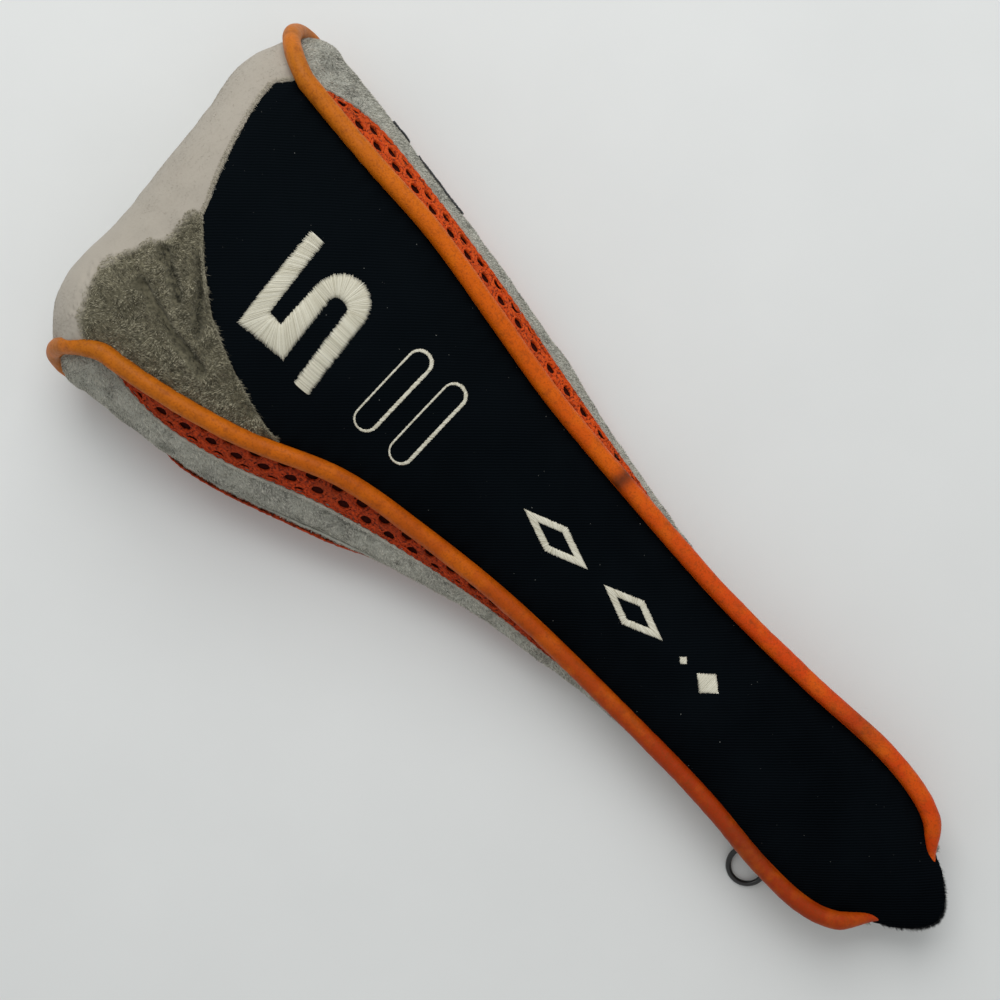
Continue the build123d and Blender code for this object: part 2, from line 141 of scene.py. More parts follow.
SOLID_LOZENGES = ((114.5, 3.0, 3.0), (104.0, 9.0, 8.0))
MOTIF_Y = -3.0
SIDE_BARS = ((259.5, 281.0), (286.5, 294.0))
SIDE_BAR_HEIGHT = (0.43, 0.55)
# The hinge is at the centre of the tab's loop, which ties the drawing to the frame.
HINGE = np.array(frame["joints"][0]["pos_m"]) / MM
ORIGIN = np.array([RING_X, TAB_LOOP[0], TAB_LOOP[1]]) - HINGE
MEAN_START = (NOSE_START["left"] + NOSE_START["right"]) / 2
START_LEAN = (NOSE_START["right"] - NOSE_START["left"]) / 2


def curve(name, x):
    """Smooth value of a station column at x, by a cubic through the stations."""
    xs, ys = STATIONS[:, 0], STATIONS[:, COLUMNS[name]]
    last = len(xs) - 1
    high = np.minimum(np.arange(last + 1) + 1, last)
    low = np.maximum(np.arange(last + 1) - 1, 0)
    slope = (ys[high] - ys[low]) / (xs[high] - xs[low])
    x = np.clip(x, xs[0], xs[-1])
    i = np.clip(np.searchsorted(xs, x, side="right") - 1, 0, last - 1)
    run = xs[i + 1] - xs[i]
    t = (x - xs[i]) / run
    return (
        ys[i] * (1 + 2 * t) * (1 - t) ** 2
        + slope[i] * run * t * (1 - t) ** 2
        + ys[i + 1] * (3 - 2 * t) * t * t
        + slope[i + 1] * run * t * t * (t - 1)
    )


def stack(*parts):
    return np.stack(np.broadcast_arrays(*parts), axis=-1)


def unit(vectors):
    return vectors / np.maximum(np.linalg.norm(vectors, axis=-1, keepdims=True), 1e-12)


def nose_angle(q):
    turn = np.clip((np.asarray(q, float) - 1) / (NOSE_OUT - 1), 0, 1)
    return np.pi / 2 - np.pi * turn


def path_state(side, q):
    """Place on the centre line of a side's piping: x, half width, height, angle, share of front."""
    start, angle = NOSE_START[side], nose_angle(q)
    front_x = start * np.minimum(q, 1)
    back_x = start * np.minimum(PATH_END - q, 1)
    front = (1 + np.sin(angle)) / 2
    x = front_x + back_x - start + NOSE_RUN[side] * np.cos(angle)
    wide, narrow = curve((side, "front"), front_x), curve((side, "back"), back_x)
    high, low = curve("front height", front_x), curve("back height", back_x)
    width = narrow + (wide - narrow) * front + NOSE_SPREAD[side] * np.cos(angle)
    return x, width, low + (high - low) * front, angle, front


def piping_centre(side, q):
    x, width, z, _, _ = path_state(side, q)
    return stack(x, SIDES[side] * width, z)


def seam(side, q, depth):
    """A panel corner on the seam, set in from the piping's centre and down by depth."""
    x, width, z, angle, front = path_state(side, q)
    along = BACK_SET_IN[0] + (FRONT_SET_IN - BACK_SET_IN[0]) * front + depth
    inward = BACK_SET_IN[1] + (FRONT_SET_IN - BACK_SET_IN[1]) * front + depth
    return stack(
        x - np.cos(angle) * along, SIDES[side] * (width - inward), z - np.sin(angle) * along
    )


def band(q, t, depth):
    """Point on the centre band: q runs over the nose, t from the right seam to the left."""
    right, left = seam("right", q, depth), seam("left", q, depth)
    base = right + (left - right) * ((np.asarray(t)[..., None] + 1) / 2)
    angle = nose_angle(q)
    turn = np.sin(angle) ** 2
    corner = NOSE_START["right"]
    over_front = np.where(np.asarray(q) <= 1, curve("crown", base[..., 0]), curve("crown", corner))
    under = curve("back height", corner) + BACK_SET_IN[0] + BACK_PRESS
    over_back = np.where(np.asarray(q) >= NOSE_OUT, base[..., 2] - depth + BACK_PRESS, under)
    end_crown = np.where(angle > 0, over_front, over_back)
    crown = NOSE_CROWN + (end_crown - NOSE_CROWN) * turn
    fullness = FULLNESS_NOSE + (FULLNESS_FRONT - FULLNESS_NOSE) * turn
    rise = crown * (1 - np.abs(t) ** fullness)
    return base + stack(np.cos(angle), 0.0, np.sin(angle)) * rise[..., None]


def bulge(side, x):
    front = curve((side, "front"), x) - FRONT_SET_IN
    back = curve((side, "back"), x) - BACK_SET_IN[1]
    lean = back - front
    room = np.maximum(np.maximum(curve((side, "reach"), x) - front, lean + 1), 1)
    half = 16 * room - 8 * lean
    return (half + np.sqrt(np.maximum(half * half - 64 * lean * lean, 0))) / 32


def gusset(side, g, w, depth):
    """Point on a side: g runs from the mouth towards the nose's middle, w front to back."""
    g, w = np.broadcast_arrays(np.asarray(g, float), np.asarray(w, float))
    front, back = seam(side, g, depth), seam(side, PATH_END - g, depth)
    swell = bulge(side, np.minimum(g, 1) * NOSE_START[side])
    swell = swell * np.sin(nose_angle(g)) ** 1.5
    swell = swell * 4 * w * (1 - w) * (1 + BULGE_LEAD * (1 - 2 * w)) * SIDES[side]
    return front + (back - front) * w[..., None] + stack(0.0, swell, 0.0)


def mean_q(x):
    return np.asarray(x, float) / MEAN_START


def between_sides(values, t):
    """A side's value carried across the band, from right (-1) to left (+1)."""
    return (values["right"] + values["left"] + (values["left"] - values["right"]) * t) / 2


def v_seam_q(t):
    """Where the front panel ends, for a place t across it."""
    ts, xs = zip(*V_SEAM)
    x = np.interp(t, ts, xs)
    start, run = between_sides(NOSE_START, t), between_sides(NOSE_RUN, t)
    past = np.clip((x - start) / run, 0, 1)
    return np.minimum(x / start, 1) + (NOSE_OUT - 1) * np.arcsin(past) / np.pi


def tongue_q(t):
    return mean_q(MOUTH_X * (1 - np.sqrt(np.maximum(1 - t * t, 0))))


def mesh_share(side, face, g):
    """Share of the gusset's height that a mesh strip takes at g."""
    x = np.minimum(g, 1) * NOSE_START[side]
    inside = np.minimum(x - MESH_START[side], MESH_END[side] - x)
    ramp = np.clip(inside / MESH_RAMP[face], 0, 1)
    return MESH_TIP_SHARE + (MESH_SHARE[side, face] - MESH_TIP_SHARE) * np.sin(ramp * np.pi / 2)


def as_line(value):
    """A value along a patch's edge, from a function or a plain number."""
    return value if callable(value) else lambda t: value + 0 * t


def band_place(start, end, low=0.0, high=1.0):
    """Map of a band patch between two lines start(t) and end(t)."""
    start, end = as_line(start), as_line(end)

    def place(a, b, depth):
        t = (2 * (low + (high - low) * b) - 1) * BAND_SHARE
        first = start(t)
        return band(first + (end(t) - first) * a, t, depth)

    return place


def gusset_place(side, start, end, low, high):
    """Map of a side patch between two places along it and two lines low(g) and high(g)."""
    low, high = as_line(low), as_line(high)

    def place(a, b, depth):
        g = start + (end - start) * a
        first = low(g)
        return gusset(side, g, first + (high(g) - first) * b, depth)

    return place


# ---------------------------------------------------------------- noise and surfaces


def ripple(points, scale, seed, waves=14):
    """Smooth noise of about -1 to 1 with features of the given size."""
    rng = np.random.default_rng(seed)
    total = 0.0
    for _ in range(waves):
        direction = unit(rng.normal(size=3))
        pitch = scale * rng.uniform(0.7, 1.6)
        total = total + np.sin(points @ direction * (2 * np.pi / pitch) + rng.uniform(0, 6.3))
    return total / np.sqrt(waves)


def smooth(low, high, value):
    t = np.clip((value - low) / (high - low), 0, 1)
    return t * t * (3 - 2 * t)


def bell(distance, width):
    """1 at no distance, fading out past width."""
    return np.exp(-((distance / width) ** 2))


STEP = 1e-3


def on_surface(place, a, b, flip, depth=0.0):
    """Points, outward normals and area per unit of a and b."""
    a, b = np.broadcast_arrays(np.asarray(a, float), np.asarray(b, float))
    points = place(a, b, depth)
    a0, a1 = np.clip(a - STEP, 0, 1), np.clip(a + STEP, 0, 1)
    b0, b1 = np.clip(b - STEP, 0, 1), np.clip(b + STEP, 0, 1)
    along = (place(a1, b, depth) - place(a0, b, depth)) / (a1 - a0)[..., None]
    over = (place(a, b1, depth) - place(a, b0, depth)) / (b1 - b0)[..., None]
    normal = np.cross(along, over) * flip
    return points, unit(normal), np.linalg.norm(normal, axis=-1)


def grid(rows, columns):
    return np.meshgrid(np.linspace(0, 1, rows + 1), np.linspace(0, 1, columns + 1), indexing="ij")


def quads(rows, columns, first=0, flip=1, wrap=False):
    """Faces of a grid of (rows + 1) by (columns + 1) points, or by columns points if it wraps."""
    width = columns if wrap else columns + 1
    i, j = np.meshgrid(np.arange(rows), np.arange(columns), indexing="ij")
    k = (j + 1) % width
    corners = [i * width + j, (i + 1) * width + j, (i + 1) * width + k, i * width + k]
    if flip < 0:
        corners.reverse()
    return np.stack(corners, axis=-1).reshape(-1, 4) + first


def write_mesh(name, points, faces, look, marks=None):
    """Mesh object from points in millimetres. faces is one array, or several with their own
    corner counts. marks is {attribute name: value per point}."""
    points = np.array(points, float).reshape(-1, 3)
    points[:, 2] = np.maximum(points[:, 2], 0)
    groups = faces if isinstance(faces, list) else [faces]
    counts = np.concatenate([np.full(len(f), f.shape[1]) for f in groups])
    corners = np.concatenate([f.ravel() for f in groups]).astype(np.int32)
    mesh = bpy.data.meshes.new(name)
    mesh.vertices.add(len(points))
    mesh.vertices.foreach_set("co", ((points - ORIGIN) * MM).astype(np.float32).ravel())
    mesh.loops.add(len(corners))
    mesh.loops.foreach_set("vertex_index", corners)
    mesh.polygons.add(len(counts))
    starts = np.concatenate([[0], np.cumsum(counts)[:-1]]).astype(np.int32)
    mesh.polygons.foreach_set("loop_start", starts)
    mesh.update(calc_edges=True)
    mesh.validate()
    for key, value in (marks or {}).items():
        attribute = mesh.attributes.new(key, "FLOAT", "POINT")
        attribute.data.foreach_set("value", np.asarray(value, np.float32).ravel())
    mesh.shade_smooth()
    thing = bpy.data.objects.new(name, mesh)
    bpy.context.scene.collection.objects.link(thing)
    mesh.materials.append(look)
    return thing


def shell(name, outer, inner, look, flip=1, marks=None):
    """Closed sheet between two grids of points, with its rims."""
    rows, columns = outer.shape[0] - 1, outer.shape[1] - 1
    count = outer.shape[0] * outer.shape[1]
    index = np.arange(count).reshape(outer.shape[:2])
    edge = np.concatenate([index[:-1, 0], index[-1, :-1], index[:0:-1, -1], index[0, :0:-1]])
    follow = np.roll(edge, -1)
    rim = np.stack([edge, edge + count, follow + count, follow], axis=-1)
    if flip < 0:
        rim = rim[:, ::-1]
    faces = np.concatenate(
        [quads(rows, columns, 0, flip), quads(rows, columns, count, -flip), rim]
    )
    points = np.concatenate([outer.reshape(-1, 3), inner.reshape(-1, 3)])
    marks = {k: np.concatenate([v.ravel(), v.ravel()]) for k, v in (marks or {}).items()}
    return write_mesh(name, points, faces, look, marks)


def cloth(name, place, look, rows, columns, flip, relief=None, depths=(0.0, CLOTH), mark=None):
    """Closed layer of cloth with its surface moved along its normals by relief(points)."""
    a, b = grid(rows, columns)
    outer, normal, _ = on_surface(place, a, b, flip, depths[0])
    inner, _, _ = on_surface(place, a, b, flip, depths[1])
    if relief:
        lift = relief(outer, a, b)
        outer = outer + normal * lift[..., None]
    marks = {key: value(outer) for key, value in (mark or {}).items()}
    return shell(name, outer, inner, look, flip, marks)


def tubes(name, lines, radii, look, sides=6, up=(0, 0, 1), marks=None):
    """Closed round tubes along lines of points, shape (tubes, points, 3)."""
    lines = np.asarray(lines, float)
    n, k, _ = lines.shape
    radii = np.broadcast_to(radii, (n, k))
    forward = unit(np.gradient(lines, axis=1))
    across = unit(np.cross(forward, np.broadcast_to(np.asarray(up, float), forward.shape)))
    rise = np.cross(across, forward)
    angles = np.arange(sides) * (2 * np.pi / sides)
    ring = (
        across[:, :, None] * np.cos(angles)[:, None]
        + rise[:, :, None] * np.sin(angles)[:, None]
    )
    points = lines[:, :, None] + ring * radii[:, :, None, None]
    one = quads(k - 1, sides, wrap=True)
    caps = np.stack([np.arange(sides), np.arange(sides)[::-1] + (k - 1) * sides])
    offsets = (np.arange(n) * k * sides)[:, None, None]
    faces = [(one[None] + offsets).reshape(-1, 4), (caps[None] + offsets).reshape(-1, sides)]
    marks = {
        key: np.repeat(np.broadcast_to(value, (n, k)).ravel(), sides)
        for key, value in (marks or {}).items()
    }
    return write_mesh(name, points, faces, look, marks)


def blades(name, roots, ends, width, look, marks, bend=0.25):
    """Fine pointed fibres: each is a quad and a tip that bends over."""
    n = len(roots)
    run = ends - roots
    size = np.linalg.norm(run, axis=1, keepdims=True)
    side = unit(np.cross(run, RNG.normal(size=(n, 3)))) * np.broadcast_to(width, n)[:, None] / 2
    sag = unit(np.cross(run, side)) * size * bend * RNG.uniform(-1, 1, (n, 1))
    middle = roots + run * 0.55 + sag * 0.5
    points = np.stack(
        [roots - side, roots + side, middle + side * 0.8, middle - side * 0.8, ends], axis=1
    )
    base = np.arange(n)[:, None] * 5
    faces = [base + np.array([0, 1, 2, 3]), base + np.array([3, 2, 4])]
    shaped = {k: np.repeat(np.broadcast_to(v, n), 5) for k, v in marks.items()}
    shaped["reach"] = np.tile([0.0, 0.0, 0.6, 0.6, 1.0], n)
    return write_mesh(name, points, faces, look, shaped)


# ---------------------------------------------------------------- materials


def rgb(red, green, blue):
    """Linear colour, with alpha, from screen values of 0 to 255."""
    c = np.array([red, green, blue]) / 255
    linear = np.where(c <= 0.04045, c / 12.92, ((c + 0.055) / 1.055) ** 2.4)
    return (*linear.tolist(), 1.0)


SOCKETS = {"specular": "Specular IOR Level"}


class Look:
    """A node material being built. Coordinates are millimetres in the frame."""

    def __init__(self, name, roughness=0.8, **sockets):
        self.made = bpy.data.materials.new(name)
        self.made.use_nodes = True
        self.tree = self.made.node_tree
        self.tree.nodes.clear()
        self.shader = self.tree.nodes.new("ShaderNodeBsdfPrincipled")
        output = self.tree.nodes.new("ShaderNodeOutputMaterial")
        self.tree.links.new(self.shader.outputs[0], output.inputs[0])
        self.set(self.shader, "Roughness", roughness)
        for key, value in sockets.items():
            self.set(self.shader, SOCKETS.get(key, key.replace("_", " ").title()), value)
        coordinates = self.tree.nodes.new("ShaderNodeTexCoord")
        self.place = self.vector("SCALE", coordinates.outputs["Object"], scale=1 / MM)

    def set(self, node, key, value):
        socket = node.inputs[key]
        if isinstance(value, bpy.types.NodeSocket):
            self.tree.links.new(value, socket)
        else:
            socket.default_value = value

    def vector(self, operation, first, second=None, scale=None):
        node = self.tree.nodes.new("ShaderNodeVectorMath")
        node.operation = operation
        self.set(node, 0, first)
        if second is not None:
            self.set(node, 1, second)
        if scale is not None:
            self.set(node, "Scale", scale)
        return node.outputs["Value" if operation == "DOT_PRODUCT" else "Vector"]

    def math(self, operation, *values):
        node = self.tree.nodes.new("ShaderNodeMath")
        node.operation = operation
        for i, value in enumerate(values):
            self.set(node, i, value)
        return node.outputs[0]

    def noise(self, size, detail=3.0, stretch=None, roughness=0.55):
        """Noise with features of the given size in millimetres."""
        node = self.tree.nodes.new("ShaderNodeTexNoise")
        where = self.place
        if stretch:
            where = self.vector("MULTIPLY", where, stretch)
        self.set(node, "Vector", where)
        self.set(node, "Scale", 1 / size)
        self.set(node, "Detail", detail)
        self.set(node, "Roughness", roughness)
        return node.outputs[0]

    def patches(self, size, detail, low=0.3, high=0.7, **options):
        """Noise stretched to run from 0 to 1 between two of its values."""
        return self.spread(self.noise(size, detail, **options), low, high)

    def stain(self, base, where, amount, colour):
        return self.mix(self.math("MULTIPLY", where, amount), base, colour)

    def spread(self, value, low, high, out_low=0.0, out_high=1.0):
        node = self.tree.nodes.new("ShaderNodeMapRange")
        for key, v in enumerate((value, low, high, out_low, out_high)):
            self.set(node, key, v)
        return node.outputs[0]

    def mix(self, share, first, second, blend="MIX"):
        node = self.tree.nodes.new("ShaderNodeMix")
        node.data_type = "RGBA"
        node.blend_type = blend
        for key, value in ((0, share), (6, first), (7, second)):
            self.set(node, key, value)
        return node.outputs[2]

    def mark(self, name):
        node = self.tree.nodes.new("ShaderNodeAttribute")
        node.attribute_name = name
        return node.outputs["Fac"]

    def axis(self, name):
        node = self.tree.nodes.new("ShaderNodeSeparateXYZ")
        self.set(node, 0, self.place)
        return node.outputs[name]

    def stripes(self, direction, pitch, wobble=None):
        """Sine of -1 to 1 across lines that lie at right angles to direction."""
        d = self.vector("DOT_PRODUCT", self.place, tuple(direction))
        if wobble is not None:
            d = self.math("ADD", d, wobble)
        return self.math("SINE", self.math("MULTIPLY", d, 2 * np.pi / pitch))

    def bump(self, height, distance):
        """Adds relief: height times distance in millimetres."""
        node = self.tree.nodes.new("ShaderNodeBump")
        self.set(node, "Strength", 1.0)
        self.set(node, "Distance", distance * MM)
        self.set(node, "Height", height)
        self.set(self.shader, "Normal", node.outputs[0])

    def colour(self, value):
        self.set(self.shader, "Base Color", value)
        return self.made


def twill_look():
    """Black twill: diagonal ribs and a little pale lint."""
    look = Look("black_twill", 0.9, specular=0.02)
    wobble = look.math("MULTIPLY", look.noise(6, 2), 0.5)
    ribs = look.stripes((0.689, -0.725, 0), 0.85, wobble)
    yarn = look.stripes((0.725, 0.689, 0), 0.42, wobble)
    fuzz = look.noise(0.35, 3)
    height = look.math("ADD", look.math("MULTIPLY", ribs, 0.5), look.math("MULTIPLY", yarn, 0.22))
    height = look.math("ADD", height, look.math("MULTIPLY", fuzz, 1.3))
    look.bump(height, 0.09)
    tone = look.spread(look.axis("X"), -100, 110)
    base = look.mix(tone, rgb(1, 3, 5), rgb(5, 9, 12))
    patchy = look.patches(25, 4, low=0.35, high=0.75)
    base = look.stain(base, patchy, 0.6, rgb(9, 14, 18))
    base = look.mix(look.spread(ribs, -1, 1, 0.0, 0.4), base, rgb(15, 20, 25))
    lint = look.patches(0.9, 1, low=0.80, high=0.83)
    return look.colour(look.mix(lint, base, rgb(120, 122, 118)))


# Painted shade in the nose's creases.
CREASE_SHADE = rgb(40, 43, 38)


def velour_look(name, light, dark, flecks, mottle, relief=0.12):
    """Cloth under the pile, from a light nap to a dark one by the mark 'nap'."""
    look = Look(name, 0.9, specular=0.15, sheen_weight=0.1, sheen_roughness=0.5)
    nap = look.mark("nap")
    clump = look.patches(1.1, 3)
    broad = look.patches(11, 4)
    pale = look.stain(light[0], clump, flecks, light[1])
    pale = look.stain(pale, broad, mottle, light[2])
    deep = look.mix(clump, dark[0], dark[1])
    # Painted shade where the mark 'crease' is set.
    deep = look.mix(look.mark("crease"), deep, CREASE_SHADE)
    look.bump(clump, relief)
    return look.colour(look.mix(nap, pale, deep))


def pile_look(name, light, dark, root):
    """Fibres: 'tint' brightens or darkens each one, 'reach' runs from root to tip; each fibre is
    darkened towards its root as painted shade.
    """
    look = Look(name, 0.8, specular=0.15, sheen_weight=0.08, sheen_roughness=0.4)
    nap, tint, reach = look.mark("nap"), look.mark("tint"), look.mark("reach")
    pale = look.mix(tint, rgb(*light[0]), rgb(*light[1]))
    deep = look.mix(tint, rgb(*dark[0]), rgb(*dark[1]))
    # Painted shade where the mark 'crease' is set.
    deep = look.mix(look.mark("crease"), deep, CREASE_SHADE)
    base = look.mix(nap, pale, deep)
    # Painted shade: fibres are darker at their roots.
    shade = look.spread(reach, 0, 1, root, 1.06)
    grey = look.tree.nodes.new("ShaderNodeCombineColor")
    for channel in range(3):
        look.set(grey, channel, shade)
    return look.colour(look.mix(1.0, base, grey.outputs[0], "MULTIPLY"))


def piping_look():
    """Worn orange vinyl with dirt, browner at the nose, with painted shade towards the left side.
    """
    look = Look("orange_vinyl", 0.45, specular=0.14, coat_weight=0.02, coat_roughness=0.3)
    along = look.spread(look.axis("X"), -70, 110)
    over = look.spread(look.axis("Y"), -15, 30)
    base = look.mix(along, rgb(204, 66, 2), rgb(208, 98, 0))
    left_shade = look.mix(along, rgb(146, 46, 2), rgb(184, 92, 4))
    # Painted shade: towards the left side the vinyl turns to a deeper, browner copy of its colour.
    base = look.mix(over, base, left_shade)
    base = look.mix(look.spread(look.axis("X"), 80, 155, 0.0, 0.85), base, rgb(172, 102, 20))
    worn = look.patches(9, 4, low=0.45, high=0.72)
    base = look.stain(base, worn, 0.4, rgb(222, 116, 4))
    grime = look.patches(3.2, 5, roughness=0.7, low=0.52, high=0.74)
    base = look.stain(base, grime, 0.6, rgb(124, 58, 10))
    base = look.stain(base, look.mark("dirt"), 0.8, rgb(60, 34, 20))
    specks = look.patches(0.7, 3, low=0.5, high=0.68)
    base = look.stain(base, specks, 0.45, rgb(124, 56, 6))
    grain = look.math("ADD", look.noise(0.5, 4), look.math("MULTIPLY", look.noise(3, 3), 1.5))
    look.bump(grain, 0.14)
    look.set(look.shader, "Roughness", look.spread(look.noise(5, 4), 0.3, 0.7, 0.36, 0.6))
    return look.colour(base)


def mesh_look():
    """Orange net, with painted shade that makes it deeper and browner towards the left."""
    look = Look("orange_mesh", 0.7, specular=0.2)
    strand = look.patches(0.35, 3, stretch=(0.25, 1, 1))
    lit_net = look.mix(strand, rgb(184, 52, 4), rgb(226, 92, 18))
    shaded_net = look.mix(strand, rgb(122, 34, 10), rgb(208, 72, 20))
    # Painted shade: lit strand tones on the right, shaded ones towards the left.
    base = look.mix(look.spread(look.axis("Y"), -10, 30), lit_net, shaded_net)
    soiled = look.patches(12, 4, low=0.45, high=0.75)
    base = look.stain(base, soiled, 0.4, rgb(120, 54, 22))
    gaps = look.patches(0.8, 3, low=0.53, high=0.62)
    base = look.stain(base, gaps, 0.75, rgb(66, 14, 7))
    look.bump(strand, 0.12)
    return look.colour(base)


def plain_look(name, low, high, size, rough, relief=0.08, **sockets):
    """Cloth or foam in two close tones with a fine grain."""
    look = Look(name, rough, **sockets)
    grain = look.patches(size, 4)
    look.bump(grain, relief)
    return look.colour(look.mix(grain, low, high))


def thread_look(name, low, high):
    look = Look(name, 0.5, sheen_weight=0.15, sheen_roughness=0.35)
    twist = look.patches(0.25, 2, stretch=(1, 0.4, 1))
    tint = look.mark("tint")
    base = look.mix(tint, low, high)
    look.bump(twist, 0.05)
    return look.colour(look.stain(base, twist, 0.25, rgb(226, 222, 204)))


def black_thread_look():
    look = Look("black_thread", 0.45, sheen_weight=0.1)
    twist = look.patches(0.25, 2)
    look.bump(twist, 0.05)
    return look.colour(look.mix(twist, rgb(13, 14, 16), rgb(30, 31, 34)))


def webbing_look():
    look = Look("black_webbing", 0.8)
    ribs = look.stripes((1, 0, 0), 0.7)
    look.bump(look.math("ADD", ribs, look.noise(0.4, 3)), 0.1)
    return look.colour(look.mix(look.spread(ribs, -1, 1), rgb(16, 17, 18), rgb(36, 37, 39)))


def ring_look():
    look = Look("black_ring", 0.3, coat_weight=0.3, coat_roughness=0.2)
    worn = look.patches(1.5, 4, low=0.6, high=0.8)
    look.bump(look.noise(0.6, 3), 0.02)
    return look.colour(look.mix(look.math("MULTIPLY", worn, 0.5), rgb(14, 14, 15), rgb(70, 70, 70)))


# Light nap tones of the nose: partly the real nap, partly painted sheen where the nose slopes away.
LIGHT_NAP_AND_SHEEN = (rgb(170, 163, 151), rgb(158, 151, 138), rgb(164, 156, 144))
DARK_NAP = (rgb(74, 71, 57), rgb(122, 117, 96))
GREY_NAP = (rgb(190, 189, 177), rgb(154, 155, 146), rgb(164, 164, 154))
GREY_DEEP = (rgb(104, 104, 97), rgb(156, 155, 145))

TWILL = twill_look()
NOSE = velour_look("nose_velour", LIGHT_NAP_AND_SHEEN, DARK_NAP, flecks=0.12, mottle=0.35, relief=0.05)
SIDE = velour_look("side_velour", GREY_NAP, GREY_DEEP, flecks=0.5, mottle=0.6)
# For each pile: its light nap's two tones, its dark nap's two tones and its roots' shade.
BLACKS = ((8, 9, 11), (34, 36, 38))
PILE_TONES = {
    "nose_pile": (((150, 143, 130), (178, 171, 158)), ((92, 89, 72), (192, 185, 160)), 0.88),
    "plush_pile": (((128, 123, 102), (184, 177, 152)), ((74, 72, 58), (208, 201, 174)), 0.6),
    "fringe_pile": (((158, 151, 134), (190, 183, 166)), ((104, 100, 82), (172, 166, 144)), 0.95),
    "side_pile": (((146, 146, 136), (222, 219, 206)), ((60, 61, 57), (226, 223, 211)), 0.72),
    "black_pile": (BLACKS, BLACKS, 0.55),
}
NOSE_PILE, PLUSH_PILE, FRINGE_PILE, SIDE_PILE, BLACK_PILE = [
    pile_look(name, *tones) for name, tones in PILE_TONES.items()
]
VINYL = piping_look()
# Pale bead on the piping's flange edge: its pale tones are a painted highlight.
FLANGE_HIGHLIGHT = plain_look("piping_flange_highlight", rgb(214, 128, 84), rgb(236, 176, 136), 0.8, 0.5)
MESH = mesh_look()
MESH_BACK = plain_look("mesh_ground", rgb(34, 7, 5), rgb(58, 14, 8), 0.8, 0.9, specular=0.1)
CORD = plain_look("cotton_cord", rgb(196, 190, 174), rgb(222, 218, 206), 0.4, 0.9)
FOAM = plain_look("padding_foam", rgb(206, 202, 190), rgb(228, 225, 214), 0.9, 0.9, 0.15)
FLEECE = plain_look("lining_fleece", rgb(26, 27, 29), rgb(52, 53, 55), 0.7, 0.95, 0.2)
ELASTIC = plain_look("neck_elastic", rgb(190, 188, 180), rgb(226, 224, 216), 0.4, 0.8)
INTERFACING = plain_look("embroidery_backing", rgb(214, 212, 206), rgb(234, 232, 226), 0.6, 0.9)
CREAM = thread_look("cream_thread", rgb(176, 170, 146), rgb(228, 225, 208))
BLACK_THREAD = black_thread_look()
WEBBING = webbing_look()
RING = ring_look()


def piece(thing, slot, *nodes, body="cover"):
    """The piece rides on a body and stands for CAD nodes. Its slot is not used."""
    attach(thing, body)
    if nodes:
        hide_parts(*nodes)
    return thing


# ---------------------------------------------------------------- front panel


PUCKER_PITCH = 6.5


def edge_pucker(points, b, reach, height):
    """Small gathers that run in from the piping and die out."""
    near = np.exp(-np.minimum(b, 1 - b) / reach)
    return near * height * np.sin(points[..., 0] * 2 * np.pi / PUCKER_PITCH + ripple(points, 20, 3))


def front_relief(points, a=None, b=None):
    flat = points * np.array([1.0, 1.0, 0.0])
    lift = 0.35 * ripple(flat, 55, 11) + 0.10 * ripple(flat, 14, 12)
    if b is not None:
        lift = lift + edge_pucker(points, b, 0.06, 0.28)
    return lift


FRONT = band_place(tongue_q, v_seam_q)


def make_front():
    panel = cloth("front_cloth", FRONT, TWILL, 400, 120, 1, front_relief)
    piece(panel, "front_cloth", "front_panel")


# ---------------------------------------------------------------- nose velour

NAP_EDGE = (
    (-3.0, 309.0), (0.0, 312.5), (11.0, 313.0), (14.0, 314.5), (20.0, 319.0), (27.0, 322.0),
    (31.0, 323.0), (37.0, 322.0), (46.0, 317.5), (50.0, 313.0), (56.0, 306.0),
)
CREASES = (
    ((310.5, 26.6), (304.0, 28.7), (297.4, 30.4), (292.4, 31.9), (287.0, 32.0), (281.0, 33.5)),
    ((312.3, 14.8), (307.2, 17.4), (302.2, 20.4), (299.3, 22.9)),
    ((303.0, 9.0), (298.0, 14.0), (293.0, 21.0), (289.0, 26.0)),
)
CREASE_DEPTH = (2.2, 1.5, 1.2)
CREASE_WIDTH = 1.5
CREASE_SHADOW = 1.6
# The pile stands up in a low bank along both sides of a crease.
CREASE_BANK, CREASE_BANK_AT = 0.4, 2.4
CREASE_LOW = 30.0
NOSE_HALF_WIDTH = 56.0
# Fullness at the nose's two corners: height, place as a share of the half width, and spread.
NOSE_BUMPS = ((6.3, 0.75, 0.35), (2.6, -0.75, 0.25))


def line_distance(points, line):
    """Distance in plan from points to a line of (x, y) corners."""
    flat = points[..., :2]
    best = np.full(flat.shape[:-1], 1e9)
    for start, end in zip(line, line[1:]):
        start, run = np.array(start), np.array(end) - np.array(start)
        share = np.clip((flat - start) @ run / (run @ run), 0, 1)
        gap = np.linalg.norm(flat - start - share[..., None] * run, axis=-1)
        best = np.minimum(best, gap)
    return best


def crease_share(points):
    """Share of painted shade: 1 along the creases in the brushed pile, fading out beside them."""
    gaps = [line_distance(points, line) for line in CREASES]
    return bell(np.min(gaps, axis=0), CREASE_SHADOW)


def nap_and_sheen_mark(points):
    """1 where the pile is brushed dark, 0 where it lies smooth and light. The light zone's paleness
    is partly the real nap and partly painted sheen of pile seen at a grazing angle.
    """
    ys, xs = zip(*NAP_EDGE)
    x, y, z = points[..., 0], points[..., 1], points[..., 2]
    edge = np.interp(y, ys, xs) + 0.8 * ripple(points, 7, 21) + 0.25 * ripple(points, 1.6, 22)
    inside = smooth(1.8, -1.8, x - edge) * smooth(-5.0, -1.0, y)
    return inside * smooth(30, 34, z)


